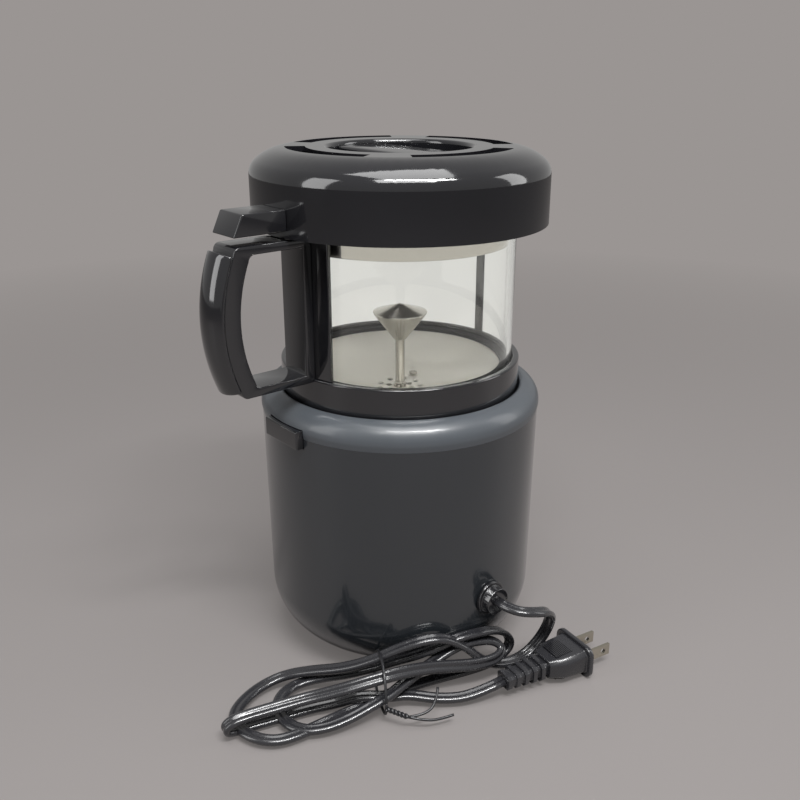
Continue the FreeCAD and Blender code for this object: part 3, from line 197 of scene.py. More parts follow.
@dataclass(frozen=True)
class Finish(Coating):
    """A surface: its colour, how it shines, and the fine texture that its making leaves."""

    roughness: float
    metallic: float = 0.0
    grain: Grain = Grain.PEEL
    grain_mm: float = 1.6
    grain_depth_mm: float = 0.004
    shade: str = ""
    coat: float = 0.0
    coat_roughness: ClassVar[float] = 0.06
    cloud_scale: ClassVar[float] = 28.0
    cloud_detail: ClassVar[float] = 3.0
    grain_detail: ClassVar[float] = 2.0
    peel_roughness: ClassVar[float] = 0.4
    drawn_out: ClassVar[float] = 0.03
    bump_strength: ClassVar[float] = 0.5
    wear: ClassVar[tuple[float, float]] = (0.86, 1.16)

    def build(self) -> bpy.types.Material:
        """Makes the material, with its colour for plain views too.

        Returns:
            The material.
        """
        material = super().build()
        material.diffuse_color = linear(self.colour)
        return material

    def shine(self, tree: bpy.types.NodeTree, place: bpy.types.NodeSocket) -> dict[str, Any]:
        """Clouds the colour a little, and lets the fine texture vary roughness and height.

        Args:
            tree: The material's tree.
            place: Object coordinates, in metres.

        Returns:
            Values and nodes for the shader.
        """
        pattern = self.pattern(tree, place)
        cloud = add_node(tree, "ShaderNodeTexNoise", inputs={
            "Vector": place, "Scale": self.cloud_scale, "Detail": self.cloud_detail})
        tint = add_node(tree, "ShaderNodeMixRGB", inputs={
            "Fac": cloud, "Color1": linear(self.colour), "Color2": linear(self.shade or self.colour)})
        low, high = self.wear
        rough = add_node(tree, "ShaderNodeMapRange", inputs={
            "Value": pattern, "To Min": self.roughness * low, "To Max": min(1.0, self.roughness * high)})
        bump = add_node(tree, "ShaderNodeBump", inputs={
            "Height": pattern, "Strength": self.bump_strength, "Distance": self.grain_depth_mm * MM})
        return {"Base Color": tint, "Roughness": rough, "Metallic": self.metallic, "Normal": bump,
                "Coat Weight": self.coat, "Coat Roughness": self.coat_roughness}

    def pattern(self, tree: bpy.types.NodeTree, place: bpy.types.NodeSocket) -> bpy.types.Node:
        """The fine texture as a height from nought to one.

        Args:
            tree: The material's tree.
            place: Object coordinates, in metres.

        Returns:
            The node that gives the height.
        """
        scale = 1 / (self.grain_mm * MM)
        if self.grain is Grain.SPARK:
            return add_node(tree, "ShaderNodeTexVoronoi", {"feature": "F1"}, {"Vector": place, "Scale": scale})
        noise: dict[str, Any] = {"Vector": place, "Scale": scale, "Detail": self.grain_detail}
        if self.grain is Grain.TURNED:
            parts = add_node(tree, "ShaderNodeSeparateXYZ", inputs={"Vector": place}).outputs
            flat = add_node(tree, "ShaderNodeCombineXYZ", inputs={"X": parts["X"], "Y": parts["Y"]})
            reach = add_node(tree, "ShaderNodeVectorMath", {"operation": "LENGTH"}, {0: flat})
            noise["Vector"] = add_node(tree, "ShaderNodeCombineXYZ", inputs={
                "X": reach.outputs["Value"], "Y": parts["Z"]})
        elif self.grain is Grain.DRAWN:
            noise["Vector"] = add_node(tree, "ShaderNodeMapping", inputs={
                "Vector": place, "Scale": (1.0, 1.0, self.drawn_out)})
        else:
            noise["Roughness"] = self.peel_roughness
        return add_node(tree, "ShaderNodeTexNoise", inputs=noise)


@dataclass(frozen=True)
class GlassFinish(Coating):
    """Clear drawn glass: no colour of its own, and slow waves from drawing."""

    name: str = "drawn_borosilicate_glass"
    colour: str = "#fdfdfc"
    ior: float = 1.47
    wave_scale: float = 38.0
    wave_detail: float = 1.0
    wave_strength: float = 0.25
    wave_depth_mm: float = 0.12

    def shine(self, tree: bpy.types.NodeTree, place: bpy.types.NodeSocket) -> dict[str, Any]:
        """Clear, smooth and gently waved.

        Args:
            tree: The material's tree.
            place: Object coordinates, in metres.

        Returns:
            Values and nodes for the shader.
        """
        waves = add_node(tree, "ShaderNodeTexNoise", inputs={
            "Vector": place, "Scale": self.wave_scale, "Detail": self.wave_detail})
        bump = add_node(tree, "ShaderNodeBump", inputs={
            "Height": waves, "Strength": self.wave_strength, "Distance": self.wave_depth_mm * MM})
        return {"Base Color": linear(self.colour), "Roughness": 0.0, "IOR": self.ior,
                "Transmission Weight": 1.0, "Normal": bump}


# ABS straight from a polished mould: deep black, sharp reflections with a very slight orange peel.
GLOSS_ABS = Finish("gloss_black_abs", "#141416", 0.10, shade="#18181b", grain_mm=2.4, grain_depth_mm=0.005,
                  coat=0.8)
# Painted ABS housing: charcoal with a clear coat, so it reflects the table dimly.
HOUSING_PAINT = Finish("charcoal_painted_abs", "#1e2124", 0.17, shade="#222529", grain_mm=2.0,
                       grain_depth_mm=0.004, coat=0.7)
# Satin soft-touch paint on the rim: blue grey, with broad dull highlights.
RIM_PAINT = Finish("satin_blue_grey_paint", "#414549", 0.36, shade="#474b50", grain_mm=0.5, grain_depth_mm=0.008,
                   coat=0.2)
# Spark-eroded nylon: fine even pits, no clear reflection.
SPARKED_NYLON = Finish("spark_textured_nylon", "#17181a", 0.55, shade="#1c1d1f", grain=Grain.SPARK,
                       grain_mm=0.6, grain_depth_mm=0.03)
# Flexible PVC lead: black with a soft waxy shine.
CORD_PVC = Finish("flexible_black_pvc", "#1f1f22", 0.27, shade="#262629", grain_mm=1.2, grain_depth_mm=0.010,
                  coat=0.6)
# Moulded silicone: dull black.
SILICONE = Finish("black_silicone_rubber", "#141414", 0.62, shade="#1a1a1a", grain_mm=0.8, grain_depth_mm=0.01)
# Stainless sheet spun over a form and left satin: fine rings round the middle.
SPUN_STEEL = Finish("satin_spun_stainless", "#f8f5ec", 0.42, 0.25, Grain.TURNED, 0.35, 0.004, "#eeebe1")
# Stainless turned from bar: tighter rings and a brighter shine.
TURNED_STEEL = Finish("turned_stainless", "#cdcac3", 0.22, 1.0, Grain.TURNED, 0.25, 0.004, "#bfbcb4")
# Stainless strip buffed to a mirror, with faint marks along its length.
BUFFED_STEEL = Finish("buffed_stainless", "#d2cec6", 0.07, 1.0, Grain.PEEL, 3.0, 0.004, "#cbc7be")
# Zinc-coated sheet: grey with a faint spangle.
ZINC_SHEET = Finish("zinc_coated_sheet", "#8d9093", 0.38, 1.0, Grain.SPARK, 4.0, 0.004, "#7f8386")
# Aluminium turned on a lathe.
ALUMINIUM = Finish("turned_aluminium", "#b9bbbd", 0.32, 1.0, Grain.TURNED, 0.3, 0.004, "#adafb1")
# Nickel-plated brass: pale, slightly warm and bright.
NICKEL = Finish("nickel_plated_brass", "#c8c2b4", 0.18, 1.0, Grain.DRAWN, 0.3, 0.004, "#bdb7a8")
# Pressed mica sheet: straw coloured, dull and flaky.
MICA = Finish("pressed_mica", "#9a8867", 0.6, 0.0, Grain.SPARK, 2.5, 0.02, "#857454")
# Oxidised heating wire: dark brown-grey metal.
HEATING_WIRE = Finish("oxidised_heating_wire", "#5a514a", 0.5, 1.0, Grain.PEEL, 0.6, 0.006, "#473f39")
# Glass-fibre circuit board under green lacquer.
BOARD = Finish("lacquered_circuit_board", "#1d5a34", 0.35, 0.0, Grain.DRAWN, 0.7, 0.006, "#184c2c")
# Red translucent lens, here as glossy plastic.
LAMP_LENS = Finish("red_acrylic_lens", "#8c1410", 0.12, shade="#7a100d", grain_mm=1.0)
# Pad-printed white ink.
WHITE_INK = Finish("pad_printed_white_ink", "#d8d8d4", 0.5, shade="#cfcfca", grain_mm=0.3, grain_depth_mm=0.003)
# Steel wire of the tie inside a thin black plastic skin.
TIE_WIRE = Finish("plastic_coated_tie_wire", "#1b1b1d", 0.3, shade="#242427", grain_mm=0.8, grain_depth_mm=0.01)
CLEAR_GLASS = GlassFinish()

# Every construction node that keeps its own mesh, with its finish.
NODE_FINISHES: dict[str, Finish] = {
    "bottom_plate": SPARKED_NYLON, "plate_screws": NICKEL, "motor_can": ZINC_SHEET, "motor_shaft": TURNED_STEEL,
    "motor_screws": NICKEL, "rectifier_board": BOARD, "chassis_plate": ZINC_SHEET, "chassis_posts": ALUMINIUM,
    "chassis_screws": NICKEL, "fan_shroud": ZINC_SHEET, "fan_impeller": SPARKED_NYLON, "heater_can": ZINC_SHEET,
    "heater_frame": MICA, "heater_coil": HEATING_WIRE, "thermostat": ALUMINIUM, "timer_body": SPARKED_NYLON,
    "timer_shaft": TURNED_STEEL, "post_nut": TURNED_STEEL, "bowl_sensor": TURNED_STEEL, "lid_screws": NICKEL,
    "lower_gasket": SILICONE, "lid_gasket": SILICONE, "plug_blades": NICKEL,
}


def merge(mesh: bpy.types.Mesh, reach: float = DOUBLES, outwards: bool = True) -> None:
    """Merges a mesh's doubled points and turns its faces outwards.

    Args:
        mesh: The mesh, changed in place.
        reach: How close doubles lie, in metres.
        outwards: Whether the faces are turned at all.
    """
    work = bmesh.new()
    work.from_mesh(mesh)
    bmesh.ops.remove_doubles(work, verts=work.verts, dist=reach)
    if outwards:
        bmesh.ops.recalc_face_normals(work, faces=work.faces)
    work.to_mesh(mesh)
    work.free()


def shade(mesh: bpy.types.Mesh, smooth: bool = True) -> None:
    """Shades all of a mesh's faces smooth or flat."""
    for face in mesh.polygons:
        face.use_smooth = smooth


def mesh_object(name: str, points: Sequence[Vector | Point], faces: Iterable[Sequence[int]],
                smooth: bool = True) -> bpy.types.Object:
    """Makes an object from points and faces, with doubles merged and faces turned outwards.

    Args:
        name: The piece's name.
        points: Places in metres.
        faces: Corner numbers of each face.
        smooth: Whether the faces are shaded smooth.

    Returns:
        The new object, linked to the scene.
    """
    mesh = bpy.data.meshes.new(name)
    mesh.from_pydata([tuple(p) for p in points], [], [tuple(f) for f in faces])
    merge(mesh)
    shade(mesh, smooth)
    return linked(name, mesh)


def settle(item: bpy.types.Object, name: str) -> bpy.types.Object:
    """Turns an object with modifiers, or a curve, into a plain mesh object.

    Args:
        item: The object, which is removed.
        name: The new piece's name.

    Returns:
        The plain mesh object.
    """
    bpy.context.view_layer.update()
    graph = bpy.context.evaluated_depsgraph_get()
    mesh = bpy.data.meshes.new_from_object(item.evaluated_get(graph), depsgraph=graph)
    mesh.transform(item.matrix_world)
    bpy.data.objects.remove(item)
    mesh.name = name
    return linked(name, mesh)


def dress(item: bpy.types.Object, finish: Coating) -> bpy.types.Object:
    """Gives the whole object one finish.

    Args:
        item: The object.
        finish: Its finish.

    Returns:
        The same object.
    """
    item.data.materials.clear()
    item.data.materials.append(finish.build())
    return item


def place_piece(item: bpy.types.Object, body: Body, slot: str, *nodes: str) -> bpy.types.Object:
    """Makes a finished piece ride on a body and stand for its construction nodes.

    Args:
        item: The piece.
        body: What it moves with.
        slot: The record's material slot; not used.
        *nodes: The nodes that it replaces, if any.

    Returns:
        The same piece.
    """
    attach(item, body.value)
    if nodes:
        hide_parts(*nodes)
    LOG.info("%s rides on %s with %d faces", item.name, body.value, len(item.data.polygons))
    return item


def node_copy(node: str, name: str) -> bpy.types.Object:
    """A merged copy of a construction node's mesh, as a new object.

    Args:
        node: The node's name.
        name: The new piece's name.

    Returns:
        The copy.
    """
    mesh = frame["nodes"][node].data.copy()
    mesh.name = name
    merge(mesh, NODE_DOUBLES, outwards=False)
    return linked(name, mesh)


def turned_normals(item: bpy.types.Object, sharp: float = 32.0, level: float = 0.05,
                   straight: float = 0.985) -> bpy.types.Object:
    """Shades a turned form as if it were perfectly round, whatever its facets are.

    Args:
        item: The piece, turned about the Z axis through the origin.
        sharp: The angle in degrees above which an edge of the outline stays crisp.
        level: How far a face's normal leans outwards before it counts as a side.
        straight: How squarely a side must face away from the axis to count as turned.

    Returns:
        The same piece.
    """
    mesh = item.data
    limit = math.cos(math.radians(sharp))
    kinds: list[tuple[bool, Vector]] = []
    around: dict[int, list[tuple[int, float]]] = {}
    for face in mesh.polygons:
        centre, normal = face.center, face.normal
        out = Vector((centre.x, centre.y, 0.0))
        flat = Vector((normal.x, normal.y, 0.0))
        turned = True
        if flat.length > level and out.length > ON_AXIS:
            turned = abs(out.normalized().dot(flat.normalized())) > straight
            radial = math.copysign(flat.length, out.dot(flat))
        else:
            radial = 0.0
        kinds.append((turned, Vector((radial, normal.z)) if turned else normal.copy()))
        for corner in face.vertices:
            around.setdefault(corner, []).append((face.index, face.area))
    normals: list[Vector] = [Vector((0, 0, 1))] * len(mesh.loops)
    for face in mesh.polygons:
        turned, own = kinds[face.index]
        for loop in face.loop_indices:
            corner = mesh.loops[loop].vertex_index
            total = own.copy() * OWN_SHARE
            for other, area in around[corner]:
                same, theirs = kinds[other]
                if same == turned and own.normalized().dot(theirs.normalized()) > limit:
                    total += theirs.normalized() * area
            total = total.normalized() if total.length > 0 else own.normalized()
            if turned:
                spot = mesh.vertices[corner].co
                out = Vector((spot.x, spot.y, 0.0))
                out = out.normalized() if out.length > ON_AXIS else Vector((0.0, 0.0, 0.0))
                total = Vector((out.x * total[0], out.y * total[0], total[1]))
            normals[loop] = total
    shade(mesh)
    mesh.normals_split_custom_set([tuple(n) for n in normals])
    return item


def softened(item: bpy.types.Object, radius_mm: float, angle: float = 34.0, steps: int = 3,
             crease: float = 40.0, flatness: float = 0.6) -> bpy.types.Object:
    """Rounds the sharp edges of a flat-sided form, as a mould does.

    Args:
        item: The piece.
        radius_mm: How wide the rounding is.
        angle: The edge angle in degrees from which an edge is rounded.
        steps: How many faces make the rounding.
        crease: The edge angle in degrees from which the shading breaks.
        flatness: The angle in degrees below which faces count as one flat side.

    Returns:
        A plain mesh piece of the same name.
    """
    name = item.name
    work = bmesh.new()
    work.from_mesh(item.data)
    bmesh.ops.dissolve_limit(work, angle_limit=math.radians(flatness), verts=work.verts, edges=work.edges)
    work.to_mesh(item.data)
    work.free()
    item.name = name + "_raw"
    bevel = item.modifiers.new("edge", "BEVEL")
    bevel.width = radius_mm * MM
    bevel.segments = steps
    bevel.limit_method = "ANGLE"
    bevel.angle_limit = math.radians(angle)
    bevel.harden_normals = True
    bevel.use_clamp_overlap = True
    shade(item.data)
    made = settle(item, name)
    made.data.set_sharp_from_angle(angle=math.radians(crease))
    return made


def rounded_outline(corners: Sequence[tuple[float, float, float]], steps: int = 5,
                    most: float = 0.49) -> list[tuple[float, float]]:
    """An outline in millimetres with each corner rounded by its own radius.

    Args:
        corners: Radius, height and rounding of each corner, in order round the outline.
        steps: How many runs make one rounding.
        most: The largest share of a side that a rounding may take.

    Returns:
        The points of the closed outline.
    """
    points: list[tuple[float, float]] = []
    count = len(corners)
    for index, (x, y, radius) in enumerate(corners):
        here = Vector((x, y))
        before = Vector(corners[index - 1][:2]) - here
        after = Vector(corners[(index + 1) % count][:2]) - here
        if radius <= 0:
            points.append((x, y))
            continue
        half = before.angle(after) / 2
        trim = min(radius / math.tan(half), before.length * most, after.length * most)
        start, end = here + before.normalized() * trim, here + after.normalized() * trim
        for step in range(steps + 1):
            t = step / steps
            bent = start * (1 - t) ** 2 + here * 2 * t * (1 - t) + end * t ** 2
            points.append((bent.x, bent.y))
    return points


def circle(radius: float, count: int) -> list[tuple[float, float]]:
    """Points of a circle round the origin, in order."""
    turns = [2 * math.pi * step / count for step in range(count)]
    return [(radius * math.cos(turn), radius * math.sin(turn)) for turn in turns]


def skin(rows: int, count: int, closed: bool = False) -> list[tuple[int, ...]]:
    """Faces between rows of points, where each row runs once round.

    Args:
        rows: How many rows there are.
        count: How many points a row has.
        closed: Whether the last row joins the first.

    Returns:
        The corner numbers of each face.
    """
    faces: list[tuple[int, ...]] = []
    for row in range(rows if closed else rows - 1):
        here, after = row * count, (row + 1) % rows * count
        for step in range(count):
            side = (step + 1) % count
            faces.append((here + step, here + side, after + side, after + step))
    return faces


def lathe(name: str, outline: Sequence[tuple[float, float]], segments: int = ROUND) -> bpy.types.Object:
    """Turns a closed outline round the Z axis.

    Args:
        name: The piece's name.
        outline: Radius and height of each point, in millimetres.
        segments: Steps round the axis.

    Returns:
        The turned piece.
    """
    points = [(x, y, height * MM) for radius, height in outline for x, y in circle(radius * MM, segments)]
    return mesh_object(name, points, skin(len(outline), segments, closed=True))


def headings(path: Sequence[Vector]) -> list[Vector]:
    """The direction of a line at each of its points."""
    ends = [path[0], *path, path[-1]]
    return [(after - before).normalized() for before, after in zip(ends, ends[2:])]


def sweep(name: str, path: Sequence[Vector], section: Sequence[tuple[float, float]],
          sideways: Sequence[Vector]) -> bpy.types.Object:
    """Carries a closed section along a path, with closed ends.

    Args:
        name: The piece's name.
        path: The points that it follows, in metres.
        section: The section's points in metres, as across and thickness.
        sideways: The direction of the section's width at each point.

    Returns:
        The swept piece.
    """
    points: list[Vector] = []
    for spot, side, way in zip(path, sideways, headings(path)):
        across = (side - way * side.dot(way)).normalized()
        thick = way.cross(across)
        points.extend(spot + across * a + thick * b for a, b in section)
    count = len(section)
    last = (len(path) - 1) * count
    ends = [tuple(range(count)), tuple(range(last, last + count))]
    return mesh_object(name, points, skin(len(path), count) + ends)


def curve_points(route: Sequence[Point], resolution: int = 6, order: int = 3) -> list[Vector]:
    """Reads the points of a smooth line through a route's control points.

    Args:
        route: Control points in metres.
        resolution: How finely the line is read.
        order: How many control points act on each part of the line.

    Returns:
        Points along the line, in order.
    """
    data = bpy.data.curves.new("route", "CURVE")
    data.dimensions = "3D"
    spline = data.splines.new("NURBS")
    spline.points.add(len(route) - 1)
    for point, place in zip(spline.points, route):
        point.co = (*place, 1.0)
    spline.order_u = order
    spline.use_endpoint_u = True
    spline.resolution_u = resolution
    data.resolution_u = resolution
    line = settle(linked("route", data), "route_line")
    points: list[Vector] = []
    for vertex in line.data.vertices:
        if not points or (vertex.co - points[-1]).length > SAME_POINT:
            points.append(vertex.co.copy())
    bpy.data.objects.remove(line)
    bpy.data.curves.remove(data)
    return points


def path_length(points: Sequence[Vector]) -> float:
    """The length of a line through points, in metres."""
    return sum((b - a).length for a, b in zip(points, points[1:]))


@dataclass
class GrowthTree:
    """A geometry tree with named numbers and one whole number, run once on an empty mesh."""

    name: str
    numbers: tuple[str, ...]
    whole: str = "Count"
    tree: bpy.types.NodeTree = field(init=False)
    start: bpy.types.Node = field(init=False)

    def __post_init__(self) -> None:
        """Makes the tree with its inputs and its output."""
        self.tree = bpy.data.node_groups.new(self.name, "GeometryNodeTree")
        sockets = self.tree.interface
        for way in ("INPUT", "OUTPUT"):
            sockets.new_socket("Geometry", in_out=way, socket_type="NodeSocketGeometry")
        for number in self.numbers:
            sockets.new_socket(number, in_out="INPUT", socket_type="NodeSocketFloat")
        sockets.new_socket(self.whole, in_out="INPUT", socket_type="NodeSocketInt")
        self.start = self.tree.nodes.new("NodeGroupInput")

    def __getitem__(self, name: str) -> bpy.types.NodeSocket:
        """The socket of a named input."""
        return self.start.outputs[name]

    def add(self, kind: str, settings: dict[str, Any] | None = None,
            inputs: dict[Any, Any] | None = None) -> bpy.types.NodeSocket:
        """Adds a node to this tree and gives its first output."""
        return add_node(self.tree, kind, settings, inputs).outputs[0]

    def calc(self, operation: str, a: Any, b: Any = 0.0) -> bpy.types.NodeSocket:
        """One step of arithmetic, as a socket."""
        return self.add("ShaderNodeMath", {"operation": operation}, {0: a, 1: b})

    def vector(self, **parts: Any) -> bpy.types.NodeSocket:
        """A vector of X, Y and Z, where those left out are nought."""
        return self.add("ShaderNodeCombineXYZ", inputs=parts)

    def finish(self, geometry: bpy.types.NodeSocket | bpy.types.Node, coating: Coating) -> None:
        """Realizes the instances, sets the material and closes the tree.

        Args:
            geometry: What the tree has made.
            coating: The finish of all of it.
        """
        real = self.add("GeometryNodeRealizeInstances", inputs={0: geometry})
        coated = self.add("GeometryNodeSetMaterial", inputs={0: real, "Material": coating.build()})
        add_node(self.tree, "NodeGroupOutput", inputs={0: coated})

    def grow(self, name: str, **values: float) -> bpy.types.Object:
        """Runs the tree with the given inputs.

        Args:
            name: The piece's name.
            **values: The inputs, by name.

        Returns:
            The result as a plain mesh object.
        """
        item = mesh_object(name + "_seed", [(0.0, 0.0, 0.0)], [])
        change = item.modifiers.new("growth", "NODES")
        change.node_group = self.tree
        for socket in self.tree.interface.items_tree:
            if socket.in_out == "INPUT" and socket.name in values:
                change[socket.identifier] = values[socket.name]
        return settle(item, name)


def grown_ring(name: str, finish: Coating, radii: tuple[float, float], heights: tuple[float, float],
               rounding: float, segments: int = ROUND) -> bpy.types.Object:
    """Grows a ring of rectangular section with rounded corners, about the Z axis.

    Args:
        name: The piece's name.
        finish: Its finish.
        radii: Inner and outer radius in millimetres.
        heights: Lowest and highest height in millimetres.
        rounding: Radius of the edges in millimetres.
        segments: Steps round the axis.

    Returns:
        The ring, with faces outwards and round shading.
    """
    made = GrowthTree("ring_of_" + finish.name, ("Inner", "Outer", "Low", "High", "Round"), "Segments")
    middle = made.calc("MULTIPLY", made.calc("ADD", made["Inner"], made["Outer"]), 0.5)
    height = made.calc("MULTIPLY", made.calc("ADD", made["Low"], made["High"]), 0.5)
    line = made.add("GeometryNodeCurvePrimitiveCircle", inputs={"Resolution": made["Segments"], "Radius": middle})
    section = made.add("GeometryNodeCurvePrimitiveQuadrilateral", inputs={
        "Width": made.calc("SUBTRACT", made["Outer"], made["Inner"]),
        "Height": made.calc("SUBTRACT", made["High"], made["Low"])})
    rounded = made.add("GeometryNodeFilletCurve", {"mode": "POLY"}, {
        "Curve": section, "Radius": made["Round"], "Count": CORNER_STEPS})
    body = made.add("GeometryNodeCurveToMesh", inputs={0: line, 1: rounded})
    moved = made.add("GeometryNodeTransform", inputs={"Geometry": body, "Translation": made.vector(Z=height)})
    made.finish(moved, finish)
    (inner, outer), (low, high) = radii, heights
    item = made.grow(name, Inner=inner * MM, Outer=outer * MM, Low=low * MM, High=high * MM,
                     Round=rounding * MM, Segments=segments)
    merge(item.data)
    return turned_normals(item)


@dataclass(frozen=True)
class NodePiece:
    """A piece in the shape of one construction node: turned, or with its edges rounded."""

    node: str
    name: str
    finish: Finish
    slot: str
    rounding_mm: float = 0.0
    body: Body = Body.BASE

    def build(self) -> None:
        """Rounds the edges, or shades the piece as turned where no rounding is given."""
        item = node_copy(self.node, self.name)
        item = softened(item, self.rounding_mm) if self.rounding_mm else turned_normals(item)
        place_piece(dress(item, self.finish), self.body, self.slot, self.node)


@dataclass
class SubAssembly:
    """A group of pieces, some of them in the shape of construction nodes."""

    shapes: ClassVar[tuple[NodePiece, ...]] = ()

    def build(self) -> None:
        """Makes every piece that follows a construction node, in order."""
        for shape in self.shapes:
            shape.build()


@dataclass
class MainsLead:
    """The flat two-core lead: one line from the gland, through the tied hank, to the plug."""

    width: float = 0.0066
    core: float = 0.0017
    spread: float = 0.00158
    settling: float = 0.03
    fineness: int = 5
    core_points: int = 11
    core_step: int = 28
    core_starts: tuple[tuple[int, int], ...] = ((1, -140), (-1, 40))
    lies_on: tuple[str, ...] = ("plug_moulding", "plug_boot", "plug_grip", "wire_tie")
    route: tuple[Point, ...] = (
        # From the gland.
        (0.0, 0.08, 0.044), (0.0, 0.091, 0.044), (-0.009, 0.098, 0.043), (-0.021, 0.096, 0.038),
        (-0.03, 0.091, 0.0285), (-0.031, 0.086, 0.0145), (-0.022, 0.0835, 0.0048), (-0.0085, 0.083, 0.004),
        (0.008, 0.0805, 0.01),
        # First crossing.
        (0.0195, 0.0765, 0.024), (0.03, 0.0725, 0.0315), (0.04, 0.0675, 0.032), (0.051, 0.0595, 0.027),
        (0.0615, 0.053, 0.0215),
        # Outer loop.
        (0.072, 0.0417, 0.015), (0.0827, 0.0268, 0.01), (0.0927, 0.0165, 0.006), (0.1066, 0.0147, 0.004),
        (0.1199, 0.0195, 0.004), (0.1279, 0.026, 0.004), (0.13, 0.0357, 0.004), (0.128, 0.0458, 0.004),
        (0.1218, 0.0538, 0.004), (0.1125, 0.057, 0.004), (0.1003, 0.058, 0.004), (0.085, 0.0591, 0.004),
        (0.0723, 0.0608, 0.004), (0.0597, 0.0611, 0.004), (0.0443, 0.064, 0.004), (0.0293, 0.068, 0.004),
        (0.0146, 0.0725, 0.004),
        # Back to the near bend.
        (0.003, 0.0765, 0.005), (-0.006, 0.0785, 0.008), (-0.0125, 0.079, 0.013), (-0.0095, 0.0775, 0.02),
        (0.0, 0.0768, 0.0255), (0.01, 0.0758, 0.0275), (0.0215, 0.0728, 0.028), (0.0318, 0.0686, 0.0245),
        (0.04, 0.0623, 0.02), (0.0458, 0.0535, 0.0145), (0.056, 0.047, 0.011),
        # Inner loop.
        (0.0683, 0.0404, 0.009), (0.0784, 0.0306, 0.006), (0.0886, 0.0248, 0.004), (0.0983, 0.0261, 0.004),
        (0.1062, 0.0319, 0.004), (0.1097, 0.0408, 0.004), (0.1099, 0.0501, 0.004), (0.1057, 0.0583, 0.0045),
        (0.0962, 0.0634, 0.005), (0.0847, 0.0661, 0.0065), (0.075, 0.0685, 0.0095), (0.064, 0.0695, 0.011),
        (0.0493, 0.0675, 0.013), (0.038, 0.069, 0.0165), (0.029, 0.0705, 0.02),
        # Second near bend.
        (0.0205, 0.0735, 0.0235), (0.0105, 0.0752, 0.0225), (0.001, 0.0785, 0.0205), (-0.002, 0.0835, 0.0165),
        (0.005, 0.0855, 0.014), (0.0168, 0.0815, 0.014), (0.0274, 0.077, 0.0155),
        # Long strand to the far fold.
        (0.0398, 0.0725, 0.018), (0.0538, 0.069, 0.02), (0.0674, 0.0656, 0.0205), (0.0784, 0.0599, 0.018),
        (0.0886, 0.0532, 0.015), (0.0987, 0.0466, 0.0125), (0.1103, 0.0423, 0.0115), (0.1234, 0.0389, 0.0115),
        (0.1325, 0.037, 0.0115), (0.1375, 0.035, 0.0085), (0.1365, 0.0345, 0.0045), (0.129, 0.035, 0.0033),
        # Return strand.
        (0.12, 0.0375, 0.0033), (0.1084, 0.0407, 0.0033), (0.0949, 0.0443, 0.0033), (0.083, 0.05, 0.004),
        (0.0735, 0.057, 0.008), (0.064, 0.064, 0.007), (0.058, 0.067, 0.0062),
        # To the plug.
        (0.052, 0.07, 0.006), (0.04, 0.082, 0.0042), (0.026, 0.091, 0.005), (0.01, 0.0954, 0.009),
    )

    def section(self) -> list[tuple[float, float]]:
        """Two round cores with a shallow groove between them, seen end on.

        Returns:
            Points of the closed section, in metres.
        """
        outline: list[tuple[float, float]] = []
        for side, first in self.core_starts:
            for step in range(self.core_points):
                angle = math.radians(first + self.core_step * step)
                outline.append((side * self.spread + self.core * math.cos(angle), self.core * math.sin(angle)))
        return outline

    def sideways(self, path: Sequence[Vector]) -> list[Vector]:
        """The direction of the lead's width at each point, carried along and slowly settling flat.

        Args:
            path: The points that the lead follows.

        Returns:
            One unit vector for each point.
        """
        carried: list[Vector] = []
        for way in headings(path):
            level = way.cross(Vector((0, 0, 1)))
            before = carried[-1] if carried else level
            side = (before - way * before.dot(way)).normalized()
            if side.dot(level) < 0:
                level = -level
            carried.append((side + level * self.settling).normalized())
        return carried

    def build(self) -> None:
        path = curve_points(self.route, self.fineness)
        lead = dress(sweep("mains_lead", path, self.section(), self.sideways(path)), CORD_PVC)
        place_piece(lead, Body.BASE, "cord_pvc", "power_cord", "cord_hank", "plug_lead")
        pieces = [frame["nodes"]["plug_blades"]]
        pieces += [item for item in bpy.data.objects if item.name in self.lies_on]
        LOG.info("the lead is %.3f m long", path_length(path))


